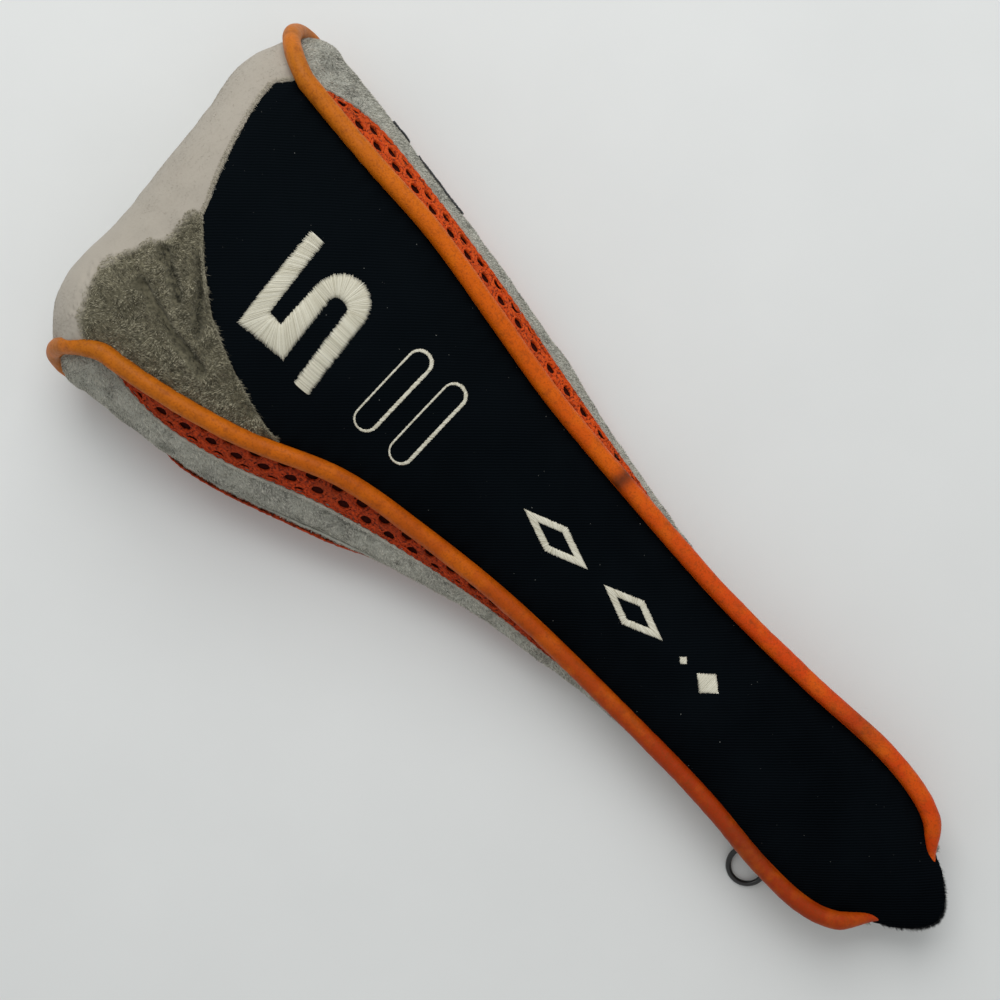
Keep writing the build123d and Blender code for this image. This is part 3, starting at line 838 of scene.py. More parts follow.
def nose_fullness(points, a):
    """How far the padding pushes the nose out beyond the plain form, fullest at its corners."""
    share = points[..., 1] / NOSE_HALF_WIDTH
    full = sum(height * bell(share - at, wide) for height, at, wide in NOSE_BUMPS)
    ahead = points[..., 0] - between_sides(NOSE_START, share)
    away = 0.0 if a is None else smooth(0.0, 0.28, a)
    return full * away * smooth(-2, 9, ahead) * smooth(2, 16, points[..., 2])


def nose_relief(points, a=None, b=None):
    top = smooth(28, 36, points[..., 2])
    dark = nap_and_sheen_mark(points)
    lift = nose_fullness(points, a) + 0.35 * ripple(points, 34, 31) + 0.12 * ripple(points, 9, 32)
    lift = lift + dark * (0.16 * ripple(points, 2.6, 33) + 0.10 * ripple(points, 1.3, 34))
    lift = lift + 0.2 * dark
    for line, depth in zip(CREASES, CREASE_DEPTH):
        gap = line_distance(points, line)
        lift = lift - top * depth * bell(gap, CREASE_WIDTH)
        lift = lift + top * CREASE_BANK * depth * bell(gap - CREASE_BANK_AT, CREASE_SHADOW)
    if b is not None:
        lift = lift + edge_pucker(points, b, 0.04, 0.3)
    return lift


def nose_start(t):
    return v_seam_q(t) + SEAM_GAP


BACK_SEAM = PATH_END - mean_q(BACK_SEAM_X)
NOSE_PLACE = band_place(nose_start, BACK_SEAM)


def scatter(place, count, flip, relief):
    """Even random points on a patch's relief, and its normals there."""
    kept_a, kept_b = np.empty(0), np.empty(0)
    while len(kept_a) < count:
        a = RNG.uniform(0, 1, count)
        b = RNG.uniform(0, 1, count)
        _, _, area = on_surface(place, a, b, flip)
        keep = RNG.uniform(0, area.max(), count) < area
        kept_a, kept_b = np.append(kept_a, a[keep]), np.append(kept_b, b[keep])
    a, b = kept_a[:count], kept_b[:count]
    points, normal, _ = on_surface(place, a, b, flip)
    return points + normal * relief(points, a, b)[:, None], normal


def clumps(points, size, seed):
    """The centre of the tuft that each point belongs to, and a random number for each tuft."""
    table = np.random.default_rng(seed).uniform(size=(4096, 4))
    cell = np.floor(points / size).astype(np.int64)
    key = (cell @ np.array([73856093, 19349663, 83492791])) % 4096
    shift = table[key, :3]
    return (cell + 0.2 + 0.6 * shift) * size, table[key, 3]


def laid(lie, normal):
    """The directions lie, turned to run along the surface."""
    return unit(lie - normal * np.sum(lie * normal, axis=1, keepdims=True))


def pile(
    name, place, count, flip, look, relief, length, rise, stroke, tuft, nap, width,
    contrast, pull=0.45, keep=None, speckle=0.10,
):
    """Pile fibres on a patch. rise is how far they stand up, and stroke the way they lie.
    Two values give the light and the dark nap; keep picks roots by their nap."""
    roots, normal = scatter(place, count, flip, relief)
    dark = nap(roots)
    if keep:
        chosen = keep(dark)
        roots, normal, dark = roots[chosen], normal[chosen], dark[chosen]
        count = len(roots)
    centre, lot = clumps(roots, tuft, 5)
    wander = stack(ripple(roots, 7, 41), ripple(roots, 7, 42), ripple(roots, 7, 43))
    lie = np.asarray(stroke) + (0.35 + 1.2 * dark[:, None]) * wander
    lie = lie + RNG.normal(scale=0.25, size=(count, 3))
    lie = laid(lie, normal)
    stand = (rise[0] + (rise[1] - rise[0]) * dark)[:, None]
    size = (length[0] + (length[1] - length[0]) * dark) * RNG.uniform(0.65, 1.25, count)
    ends = roots + (normal * stand + lie * np.sqrt(1 - stand**2)) * size[:, None]
    ends = ends + (centre - roots) * (0.1 + pull * dark[:, None])
    broad = ripple(roots, 6, 44)
    tint = 0.5 + contrast * (0.25 + dark) * (lot - 0.5) + 0.12 * contrast * broad
    tint = np.clip(tint + RNG.normal(scale=speckle, size=count), 0, 1)
    # Painted shade along the creases, on the nose's top only.
    crease = 0.95 * crease_share(roots) * (roots[:, 2] > CREASE_LOW)
    marks = {"nap": dark, "tint": tint, "crease": crease}
    return blades(name, roots - normal * 0.1, ends, width, look, marks)


def make_nose():
    panel = cloth(
        "nose_velour", NOSE_PLACE, NOSE, 260, 190, 1, nose_relief, mark={"nap": nap_and_sheen_mark}
    )
    piece(panel, "nose_velour", "nose_panel")
    smooth_nap = pile(
        "nose_pile", NOSE_PLACE, 60000, 1, NOSE_PILE, nose_relief,
        length=(0.5, 0.6), rise=(0.08, 0.2), stroke=(0.25, 0.9, -0.3), tuft=1.1, nap=nap_and_sheen_mark,
        width=0.14, contrast=0.4, keep=lambda dark: dark < 0.4, speckle=0.2,
    )
    piece(smooth_nap, "nose_velour")
    plush = pile(
        "nose_plush", NOSE_PLACE, 190000, 1, PLUSH_PILE, nose_relief,
        length=(0.7, 0.8), rise=(0.25, 0.65), stroke=(0.5, 0.6, 0.0), tuft=0.7, nap=nap_and_sheen_mark,
        width=0.15, contrast=0.55, pull=0.25, keep=lambda dark: dark > 0.05, speckle=0.27,
    )
    piece(plush, "nose_velour")


FRINGE_COUNT, FRINGE_BACK = 4200, 1.6


def make_fringe():
    """Pale fibres of the velour that lie over the black cloth at their seam."""
    count = FRINGE_COUNT
    b = RNG.uniform(0, 1, count)
    roots, normal, _ = on_surface(NOSE_PLACE, np.zeros(count), b, 1)
    roots = roots + normal * (nose_relief(roots)[:, None] + 0.1)
    roots = roots + RNG.uniform(0.0, FRINGE_BACK, (count, 1)) * np.array([1.0, 0, 0])
    dark = nap_and_sheen_mark(roots + np.array([2.0, 0, 0]))
    lie = np.array([-1.0, 0.0, 0.0]) + RNG.normal(scale=0.4, size=(count, 3))
    lie = lie + 0.5 * stack(0.0, ripple(roots, 5, 51), 0.0)
    lie = laid(lie, normal)
    ragged = 0.6 + 0.4 * np.clip(ripple(roots, 2.2, 52), -1, 1)
    size = RNG.uniform(0.2, 1.0, count) * ragged * (1.6 + 1.0 * dark)
    ends = roots + (lie + normal * 0.1) * size[:, None]
    marks = {"nap": dark, "tint": np.clip(RNG.normal(0.6, 0.22, count), 0, 1)}
    piece(blades("seam_fringe", roots, ends, 0.12, FRINGE_PILE, marks, 0.2), "nose_velour")


# ---------------------------------------------------------------- back, sides


def back_relief(points, a=None, b=None):
    lift = 0.12 * ripple(points, 30, 61) + 0.05 * ripple(points, 9, 62)
    return lift - 0.25 * (1 - smooth(0.0, 0.6, points[..., 2]))


def make_back():
    place = band_place(BACK_SEAM + SEAM_GAP, PATH_END - mean_q(MOUTH_X))
    panel = cloth("back_cloth", place, TWILL, 300, 110, 1, back_relief)
    piece(panel, "front_cloth", "back_panel")


def side_relief(points, a=None, b=None):
    lift = 0.4 * ripple(points, 30, 71) + 0.14 * ripple(points, 9, 72)
    lift = lift + 0.03 * ripple(points, 2, 73)
    if b is not None:
        lift = lift * np.clip(np.sin(np.pi * b) * 3, 0, 1)
    return lift


def side_nap(points):
    patchy = smooth(-0.6, 1.6, 0.7 * ripple(points, 13, 74) + 0.5 * ripple(points, 4.5, 75))
    return 0.2 + 0.6 * patchy


def whole_side(side):
    """The whole of a side, by its own g and w."""
    return gusset_place(side, 0.0, 1.0, 0.0, 1.0)


def make_side(side):
    place = gusset_place(
        side,
        MOUTH_X / NOSE_START[side],
        GUSSET_END,
        lambda g: mesh_share(side, "front", g),
        lambda g: 1 - mesh_share(side, "back", g),
    )
    flip = SIDES[side]
    panel = cloth(
        side + "_side_velour", place, SIDE, 420, 64, flip, side_relief, mark={"nap": side_nap}
    )
    piece(panel, "side_velour", side + "_side_panel")
    fibres = pile(
        side + "_side_pile", place, 60000, flip, SIDE_PILE, side_relief,
        length=(0.9, 0.95), rise=(0.35, 0.6), stroke=(-0.6, 0.0, -0.6), tuft=0.8, nap=side_nap,
        width=0.16, contrast=0.6, pull=0.15, speckle=0.32,
    )
    piece(fibres, "side_velour")
    make_rim(side)


RIM_INSET, RIM_RADIUS, RIM_FIBRES = 0.017, 0.45, 9000


def make_rim(side):
    """Turned edge of the velour along the mesh, with its raised fibres, which take the light nap's
    tones as painted sheen.
    """
    count = RIM_FIBRES
    g = np.linspace(MESH_START[side] - 4, MESH_END[side] + 1, 500) / NOSE_START[side]
    for face in ("front", "back"):
        share = mesh_share(side, face, g) + RIM_INSET
        w = share if face == "front" else 1 - share
        points, normal, _ = on_surface(whole_side(side), g, w, SIDES[side])
        line = points + normal * (0.12 + 0.1 * ripple(points, 4, 76))[:, None]
        radii = RIM_RADIUS + 0.06 * ripple(points, 2.5, 77)
        name = f"{side}_{face}_velour_edge"
        nap = side_nap(line)[None]
        piece(tubes(name, line[None], radii[None], SIDE, 12, marks={"nap": nap}), "side_velour")
        at = RNG.integers(0, len(g), count)
        spread = RNG.normal(scale=0.35, size=(count, 3))
        roots = line[at] + spread * np.array([1.0, 0.5, 0.5])
        lie = normal[at] + RNG.normal(scale=0.7, size=(count, 3)) + np.array([-0.5, 0, 0])
        ends = roots + unit(lie) * RNG.uniform(0.4, 1.0, (count, 1))
        # nap 0 gives these fibres the lightest tones: painted sheen of fuzz catching the light.
        marks = {"nap": 0.0, "tint": RNG.uniform(0.3, 1.0, count)}
        fibres = blades(f"{side}_{face}_edge_pile", roots, ends, 0.13, SIDE_PILE, marks, 0.4)
        piece(fibres, "side_velour")


# ---------------------------------------------------------------- mesh strips

HOLE_PITCH, HOLE_STAGGER, ROW_PITCH = 8.4, 4.2, 2.2
HOLE_HALF = (1.8, 0.72)
STRAND_RINGS = (
    (0.0, -0.55), (0.05, -0.15), (0.22, 0.2), (0.45, 0.36), (0.68, 0.34), (0.86, 0.2), (1.0, 0.1)
)
CELL_SIDES = 28
HOLE_JITTER = 0.12
# Strands along the strip's outer edge: how far in they lie and the pitch of their wave.
SELVEDGE = ((0.0, 3.1), (0.55, 4.3))
SELVEDGE_RADIUS = 0.3
# The lower left strip bulges past the velour's edge over part of its length.
PEEK_LIFT = 1.5
PEEK_START, PEEK_END = (200, 222), (284, 268)


def gusset_height(side, x):
    """Length over the side from seam to seam at x."""
    w = np.linspace(0, 1, 41)
    points = gusset(side, (x / NOSE_START[side])[:, None], w[None, :], 0.0)
    return np.linalg.norm(np.diff(points, axis=1), axis=-1).sum(axis=1)


def cell_outline(angles):
    """Distance from a hole's centre to the edge of its six-sided cell."""
    sloping = (HOLE_STAGGER**2 + ROW_PITCH**2) / 2
    away = np.stack(
        [
            np.abs(HOLE_STAGGER * np.cos(angles)) + np.abs(ROW_PITCH * np.sin(angles)),
            np.abs(np.sin(angles)) * sloping / ROW_PITCH,
        ]
    )
    return sloping / away.max(axis=0)


def strip_cells(length, wide):
    rows = int(np.ceil(wide / ROW_PITCH)) + 1
    columns = int(np.ceil(length / HOLE_PITCH)) + 1
    return np.array(
        [
            (i * HOLE_PITCH + (j % 2) * HOLE_STAGGER, (j + 0.35) * ROW_PITCH)
            for j in range(rows)
            for i in range(columns)
        ]
    )


def peek(side, face, x):
    """How far a strip bulges out at x: the lower left one does over part of its length."""
    if (side, face) != ("left", "back"):
        return 0.0
    return PEEK_LIFT * smooth(*PEEK_START, x) * smooth(*PEEK_END, x)


def on_strip(side, face, x, down, height):
    """Points and normals on a side at x, by the distance down from the strip's own seam."""
    w = down / height
    if face == "back":
        w = 1 - w
    points, normal, _ = on_surface(whole_side(side), x / NOSE_START[side], w, SIDES[side])
    return points, normal


def cell_rings(cells):
    """Rings of points round each hole, from its rim down to the middle of the strands."""
    angles = np.arange(CELL_SIDES) * (2 * np.pi / CELL_SIDES) + 0.05
    outline = cell_outline(angles)
    oval = 1 / np.hypot(np.cos(angles) / HOLE_HALF[0], np.sin(angles) / HOLE_HALF[1])
    jitter = RNG.normal(scale=HOLE_JITTER, size=(len(cells), 1, 2))
    rings = []
    for share, lift in STRAND_RINGS:
        radius = oval + (outline - oval) * share
        offset = stack(radius * np.cos(angles), radius * np.sin(angles))[None]
        flat = cells[:, None] + offset + jitter * (1 - share)
        rings.append(stack(flat[..., 0], flat[..., 1], np.full(flat.shape[:2], lift)))
    return np.stack(rings, axis=1)


def make_net(side, face, start, end, samples, heights):
    widths = heights * mesh_share(side, face, samples / NOSE_START[side])
    cells = strip_cells(end - start, widths.max())
    local = cell_rings(cells)
    x = np.clip(start + local[..., 0], start, end)
    height = np.interp(x, samples, heights)
    limit = height * mesh_share(side, face, x / NOSE_START[side]) - 0.1
    down = np.clip(local[..., 1], 0.35, np.maximum(limit, 0.36))
    points, normal = on_strip(side, face, x, down, height)
    swell = 0.25 * np.sin(np.pi * np.clip(down / np.maximum(limit, 1), 0, 1))
    lift = local[..., 2] + 0.10 * ripple(points, 1.2, 81) + swell - 0.1
    lift = lift + peek(side, face, x)
    points = points + normal * lift[..., None]
    one = quads(len(STRAND_RINGS) - 1, CELL_SIDES, wrap=True)
    offsets = (np.arange(len(cells)) * len(STRAND_RINGS) * CELL_SIDES)[:, None, None]
    faces = (one[None] + offsets).reshape(-1, 4)
    pinned = (np.abs(local[..., 1] - down) > 1e-9) | (np.abs(start + local[..., 0] - x) > 1e-9)
    faces = faces[~pinned.ravel()[faces].all(axis=1)]
    net = write_mesh(f"{side}_{face}_mesh_net", points, faces, MESH)
    piece(net, "mesh", f"{side}_{face}_mesh")


def make_selvedge(side, face, start, end, samples, heights):
    """Two wavy strands along the strip's outer edge."""
    x = np.linspace(start, end, 700)
    height = np.interp(x, samples, heights)
    edge = height * mesh_share(side, face, x / NOSE_START[side])
    lines = []
    for inset, wave in SELVEDGE:
        down = edge - inset + 0.12 * np.sin(x * 2 * np.pi / wave)
        line, normal = on_strip(side, face, x, down, height)
        rise = 0.12 + 0.08 * ripple(line, 1.5, 83) + peek(side, face, x)
        lines.append(line + normal * rise[:, None])
    selvedge = tubes(f"{side}_{face}_mesh_selvedge", lines, SELVEDGE_RADIUS, MESH, 8)
    piece(selvedge, "mesh")


def make_ground(side, face):
    """Dark cloth behind the net's holes."""
    first, last = MESH_START[side] / NOSE_START[side], MESH_END[side] / NOSE_START[side]
    edges = (0.008, lambda g: mesh_share(side, face, g) + 0.01)
    if face == "back":
        edges = (lambda g: 1 - mesh_share(side, face, g) - 0.01, 0.992)
    ground = cloth(
        f"{side}_{face}_mesh_ground", gusset_place(side, first, last, *edges), MESH_BACK,
        160, 10, SIDES[side], lambda p, a, b: 0.08 * ripple(p, 2, 82), depths=(0.75, 1.1),
    )
    piece(ground, "mesh")


def make_mesh_strip(side, face):
    start, end = MESH_START[side] + 1, MESH_END[side] - 0.5
    samples = np.linspace(start, end, 80)
    heights = gusset_height(side, samples)
    make_net(side, face, start, end, samples, heights)
    make_selvedge(side, face, start, end, samples, heights)
    make_ground(side, face)


# ---------------------------------------------------------------- piping


# The piping's ends turn inwards and down under the mouth's edge, and get thinner.
TUCK_SPAN = (24, 12)
FRONT_TUCK, BACK_TUCK = (4.5, 2.6), (1.2, 0.0)
END_TAPER, TAPER_SPAN = 0.62, (23, 12)
# Dirt on the front of the piping: a dark spot on the right side, and a faint wide one on both.
SPOT_X, SPOT_REACH = 167, 2.6
SMUDGE_X, SMUDGE_REACH, SMUDGE = 60, 9, 0.35
CORD_GAP = 0.75
FLANGE_RADIUS = 0.34


def piping_line(side, count):
    """The piping's centre line, with its two ends drawn in under the mouth's edge."""
    first = (MOUTH_X - 1.5) / NOSE_START[side]
    nose = np.linspace(0.985, 1.155, count // 4)
    front = np.linspace(first, 0.985, count // 2, endpoint=False)
    back = np.linspace(1.155, PATH_END - first, count - len(front) - len(nose) + 1)[1:]
    q = np.concatenate([front, nose, back])
    points = piping_centre(side, q)
    near = smooth(*TUCK_SPAN, points[:, 0])
    points[:, 1] -= SIDES[side] * near * np.where(q < 1, FRONT_TUCK[0], BACK_TUCK[0])
    points[:, 2] -= near * np.where(q < 1, FRONT_TUCK[1], BACK_TUCK[1])
    return points, q


WELT_SHARE = 0.8  # of the way from the piping's centre to the panels' corner
WELT_RADIUS = 1.05


def make_piping(side):
    points, q = piping_line(side, 640)
    body = 1 + 0.02 * ripple(points, 11, 91) + 0.012 * ripple(points, 3.5, 92)
    taper = 1 - END_TAPER * smooth(*TAPER_SPAN, points[:, 0])
    radii = PIPING_RADIUS * body * taper
    spot = bell(points[:, 0] - SPOT_X, SPOT_REACH) * (side == "right")
    smudge = SMUDGE * bell(points[:, 0] - SMUDGE_X, SMUDGE_REACH)
    dirt = (spot + smudge) * (q < 1)
    tube = tubes(
        side + "_piping_vinyl", points[None], radii[None], VINYL, 28, up=(0, 1, 0),
        marks={"dirt": dirt[None]},
    )
    piece(tube, "piping", side + "_piping_cover")
    sewn = points + WELT_SHARE * (seam(side, q, 0.0) - piping_centre(side, q))
    welt = tubes(side + "_piping_welt", sewn[None], WELT_RADIUS * taper[None], VINYL, 12)
    piece(welt, "piping")
    thin = radii[None] - CORD_GAP
    cord = tubes(side + "_piping_core", points[None], thin, CORD, 16, up=(0, 1, 0))
    piece(cord, "cotton_cord", side + "_piping_cord")
    # Thin pale bead along the side's seam for the flange edge, coloured as a painted highlight.
    g = np.linspace(MESH_START[side] - 30, NOSE_START[side] - 4, 300) / NOSE_START[side]
    line = gusset(side, g, 0.02, -0.2)
    line = line + 0.1 * stack(ripple(line, 3, 93), ripple(line, 3, 94), ripple(line, 4, 95))
    flange = tubes(side + "_piping_flange_highlight", line[None], FLANGE_RADIUS, FLANGE_HIGHLIGHT, 10)
    piece(flange, "piping")


# ---------------------------------------------------------------- embroidery


def front_point(x, y):
    """Point on the finished front panel over (x, y), and its normal."""
    t = np.zeros_like(x)
    for _ in range(6):
        q = x / (MEAN_START - START_LEAN * t)
        right, left = seam("right", q, 0.0)[..., 1], seam("left", q, 0.0)[..., 1]
        t = 2 * (y - right) / (left - right) - 1
    q = x / (MEAN_START - START_LEAN * t)
    points = band(q, t, 0.0)
    tilt_x = band(q + 0.5 / MEAN_START, t, 0.0) - points
    tilt_t = band(q, t + 0.01, 0.0) - points
    normal = unit(np.cross(tilt_x, tilt_t))
    return points + normal * front_relief(points)[..., None], normal


NUMBER_PITCH, MOTIF_PITCH, BAR_PITCH, SLOT_PITCH = 0.23, 0.25, 0.28, 0.3


def along_line(corners, share):
    """Points at shares of the length of a line of corners."""
    corners = np.array(corners, float)
    runs = np.concatenate([[0], np.cumsum(np.linalg.norm(np.diff(corners, axis=0), axis=1))])
    at = share * runs[-1]
    return stack(np.interp(at, runs, corners[:, 0]), np.interp(at, runs, corners[:, 1]))


def satin(first, second, pitch, ragged):
    """Ends of the stitches that cross from one edge line to the other."""
    longest = max(
        np.linalg.norm(np.diff(np.array(edge, float), axis=0), axis=1).sum()
        for edge in (first, second)
    )
    count = max(int(longest / pitch), 2)
    share = np.linspace(0, 1, count) + RNG.normal(scale=0.12 / count, size=count)
    starts = along_line(first, np.clip(share, 0, 1))
    ends = along_line(second, np.clip(share, 0, 1))
    run = unit(ends - starts)
    starts = starts - run * RNG.uniform(-0.6, 1, (count, 1)) * ragged
    ends = ends + run * RNG.uniform(-0.6, 1, (count, 1)) * ragged
    return starts, ends


def stitch_tubes(name, pairs, surface, look, radius, arch):
    """Threads over a surface between pairs of points in its own two coordinates."""
    starts = np.concatenate([a for a, _ in pairs])
    ends = np.concatenate([b for _, b in pairs])
    count, stops = len(starts), np.linspace(0, 1, 8)
    flat = starts[:, None] + (ends - starts)[:, None] * stops[None, :, None]
    points, normal = surface(flat[..., 0], flat[..., 1])
    size = np.linalg.norm(points[:, -1] - points[:, 0], axis=1)
    rise = arch * np.clip(size / 5, 0.35, 1) * RNG.uniform(0.85, 1.15, count)
    lift = rise[:, None] * (1 - (2 * stops - 1) ** 4)[None] - 0.05
    points = points + normal * lift[..., None]
    wide = radius * RNG.uniform(0.8, 1.15, count)[:, None]
    radii = wide * (0.45 + 0.55 * (1 - (2 * stops - 1) ** 6))[None]
    tint = np.clip(RNG.normal(0.6, 0.25, count), 0, 1)[:, None]
    return tubes(name, points, radii, look, 6, marks={"tint": tint})


def arc(centre, radii, start, end, count=24):
    angles = np.radians(np.linspace(start, end, count))
    return [
        (centre[0] + radii[0] * np.cos(v), centre[1] + radii[1] * np.sin(v)) for v in angles
    ]


def number_stitches():
    """A figure 5, its top towards the nose. Each stroke is a pair of edge lines."""
    strokes = [((a, b), (d, c)) for a, b, c, d in NUMBER_STROKES]
    bowl = [arc(shape[:2], shape[2:], 0, -180) for shape in (BOWL_INNER, BOWL_OUTER)]
    return [satin(first, second, NUMBER_PITCH, 0.38) for first, second in [*strokes, bowl]]


def slot_stitches(centre):
    """Slanted stitches round a slot, thick on its lower left and thin on its right."""
    half, radius = (SLOT_LENGTH - SLOT_WIDTH) / 2, SLOT_WIDTH / 2 - 0.5
    x, y = centre
    track = arc((x, y - half), (radius, radius), 0, -180, 16)
    track += arc((x, y + half), (radius, radius), 180, 0, 16)
    track.append(track[0])
    count = int((2 * np.pi * radius + 4 * half) / SLOT_PITCH)
    share = np.arange(count) / count
    points = along_line(track, share)
    ahead = along_line(track, (share + 0.002) % 1)
    forward = unit(ahead - points)
    outward = stack(forward[:, 1], -forward[:, 0])
    uneven = 0.2 * ripple(stack(points[:, 0], points[:, 1], 0.0), 7, 97)
    thick = smooth(-0.8, 0.8, outward @ np.array([0.7, 0.7]) + uneven)
    half_width = (0.34 + 0.34 * thick) * RNG.uniform(0.85, 1.2, count)
    slanted = unit(outward + 0.7 * forward)
    return points - slanted * half_width[:, None], points + slanted * half_width[:, None]


def diamond(length, width):
    return [(length / 2, 0), (0, width / 2), (-length / 2, 0), (0, -width / 2)]


def lozenge_stitches(centre, length, width, stroke):
    """Ring of satin stitches round a lozenge, mitred at its corners."""
    outer = diamond(length, width)
    inset = stroke * np.hypot(length, width)
    inner_length, inner_width = length - 2 * inset / width, width - 2 * inset / length
    inner = diamond(inner_length, inner_width)
    pairs = []
    for i in range(4):
        edges = []
        for ring in (outer, inner):
            edges.append([(centre[0] + x, centre[1] + y) for x, y in (ring[i], ring[(i + 1) % 4])])
        pairs.append(satin(edges[0], edges[1], MOTIF_PITCH, 0.2))
    return pairs


def solid_lozenge(centre, length, width):
    x, y = centre
    near = [(x - length / 2, y), (x, y - width / 2), (x + length / 2, y)]
    far = [(a, 2 * y - b) for a, b in near]
    return satin(near, far, MOTIF_PITCH, 0.2)


def make_embroidery():
    number = stitch_tubes("number_stitches", number_stitches(), front_point, CREAM, 0.145, 0.6)
    piece(number, "cream_thread", "number_embroidery")
    slots = [slot_stitches(centre) for centre in SLOT_CENTRES]
    slot_piece = stitch_tubes("slot_stitches", slots, front_point, CREAM, 0.17, 0.3)
    piece(slot_piece, "cream_thread", "slot_embroidery")
    motif = []
    for x, length in OPEN_LOZENGES:
        motif += lozenge_stitches((x, MOTIF_Y), length, LOZENGE_WIDTH, LOZENGE_STROKE)
    for x, length, width in SOLID_LOZENGES:
        motif.append(solid_lozenge((x, MOTIF_Y), length, width))
    piece(
        stitch_tubes("motif_stitches", motif, front_point, CREAM, 0.15, 0.45),
        "cream_thread", "motif_embroidery",
    )


def side_point(x, w):
    g = x / NOSE_START["right"]
    points, normal, _ = on_surface(whole_side("right"), g, w, SIDES["right"])
    return points + normal * (side_relief(points)[..., None] + 0.35), normal


def make_side_bars():
    pairs = []
    low, high = SIDE_BAR_HEIGHT
    for x0, x1 in SIDE_BARS:
        pairs.append(satin(((x0, low), (x1, low)), ((x0, high), (x1, high)), BAR_PITCH, 0))
    bars = stitch_tubes("side_bar_stitches", pairs, side_point, BLACK_THREAD, 0.19, 0.5)
    piece(bars, "black_thread", "side_embroidery")


# ---------------------------------------------------------------- mouth and hidden layers


def make_layer(name, node, slot, place, depths, look, flip, relief, rows=90, columns=36):
    layer = cloth(name, place, look, rows, columns, flip, relief, depths)
    return piece(layer, slot, node)


def soft_relief(seed, height, size):
    return lambda points, a, b: height * ripple(points, size, seed) * np.sin(np.pi * b)


LAYERS = (
    ("foam", "padding", "foam", PADDING, FOAM, 0.05, 4),
    ("fleece", "lining", "lining", LINING, FLEECE, 0.06, 3),
)
FOLD = (BACKING[0], PADDING[1])
ELASTIC_SPAN = (150, 130)
BACKING_SPAN = (96, 290)


def make_layers(name, place, flip, seed):
    """The foam and the fleece behind one panel."""
    for i, (kind, node, slot, depths, look, height, size) in enumerate(LAYERS):
        relief = soft_relief(seed + i, height, size)
        make_layer(f"{name}_{kind}", f"{name}_{node}", slot, place, depths, look, flip, relief)


def make_inside():
    first = mean_q(MOUTH_X + TONGUE_HEM + 0.5)
    spans = {
        "front": (first, 0.983),
        "nose": (0.985, NOSE_OUT + 0.015),
        "back": (NOSE_OUT + 0.017, PATH_END - first),
    }
    for part, (start, end) in spans.items():
        make_layers(part, band_place(start, end, 0.02, 0.98), 1, 101)
    for side, flip in SIDES.items():
        start = (MOUTH_X + TONGUE_HEM) / NOSE_START[side]
        place = gusset_place(side, start, INNER_GUSSET_END, 0.02, 0.98)
        make_layers(side + "_side", place, flip, 103)
    hem_q = mean_q(MOUTH_X + TONGUE_HEM)
    facing = band_place(lambda t: tongue_q(t) + mean_q(0.6), hem_q, 0.04, 0.96)
    hem = band_place(PATH_END - hem_q, PATH_END - mean_q(MOUTH_X + 0.2), 0.04, 0.96)
    make_layer(
        "tongue_lining", "tongue_facing", "lining", facing, FOLD, FLEECE, 1,
        soft_relief(105, 0.05, 2), 24, 60,
    )
    make_layer(
        "back_hem_fold", "back_hem", "lining", hem, FOLD, FLEECE, 1,
        soft_relief(106, 0.05, 2), 16, 60,
    )
    elastic = band_place(*[PATH_END - mean_q(x) for x in ELASTIC_SPAN], 0.1, 0.9)
    make_layer(
        "elastic_band", "neck_elastic", "elastic", elastic, (LINING[1] + 0.1, LINING[1] + 0.9),
        ELASTIC, 1, lambda p, a, b: 0.12 * np.sin(a * 2 * np.pi * 9), 72, 60,
    )
    backing = band_place(*[mean_q(x) for x in BACKING_SPAN], 0.12, 0.88)
    make_layer(
        "interfacing", "embroidery_backing", "backing", backing, BACKING, INTERFACING, 1,
        lambda p, a, b: 0.01 * ripple(p, 3, 107), 80, 30,
    )


MOUTH_FIBRES = 7000


def make_mouth_fuzz():
    """Short black fibres all round the edge of the mouth."""
    count = MOUTH_FIBRES
    b = RNG.uniform(0.0, 1, count)
    roots, normal, _ = on_surface(FRONT, np.zeros(count), b, 1)
    depth = RNG.uniform(0, 1.0, count)
    behind, _, _ = on_surface(FRONT, np.full(count, 0.004), b, 1)
    outward = unit(roots - behind)
    roots = roots - normal * depth[:, None] - outward * 0.25
    lie = outward + RNG.normal(scale=0.45, size=(count, 3)) - normal * (depth - 0.4)[:, None]
    size = 0.5 + 1.5 * RNG.uniform(0, 1, count) ** 2.2
    ends = roots + unit(lie) * size[:, None]
    marks = {"nap": 0.0, "tint": RNG.uniform(0, 1, count)}
    piece(blades("mouth_fuzz", roots, ends, 0.14, BLACK_PILE, marks, 0.4), "front_cloth")


# ---------------------------------------------------------------- tab and ring


TAB_SEWN, TAB_CLEARANCE = (0.62, 0.34), 0.5
TAB_OPENING, TAB_RIBS, TAB_TACKS = 0.45, 34, 15


def tab_points():
    """The strap's loop and sewn run in the YZ plane."""
    g = RING_X / NOSE_START["left"]
    low = gusset("left", g, TAB_SEWN[0], 0.0)[1:]
    high = gusset("left", g, TAB_SEWN[1], 0.0)[1:]
    run = unit(high - low)
    out = np.array([run[1], -run[0]])
    offset = out * (TAB_PLY + TAB_CLEARANCE)
    return np.array(TAB_LOOP), low + offset, high + offset, run, out


def tab_line(loop, low, high, out):
    """The strap's centre line: up one face of its sewn run, round the loop and back."""
    radius = TAB_LOOP_INNER + TAB_PLY / 2
    toward = unit(low - loop)
    heading = np.arctan2(toward[1], toward[0])
    turn = np.linspace(heading + TAB_OPENING, heading + 2 * np.pi - TAB_OPENING, 40)
    round_ring = loop + radius * stack(np.cos(turn), np.sin(turn))
    face = out * TAB_PLY / 2
    if (round_ring[0] - low) @ out < (round_ring[-1] - low) @ out:
        face = -face
    run = np.array([high, low + (high - low) * 0.5, low])
    return np.concatenate([run + face, round_ring, run[::-1] - face])


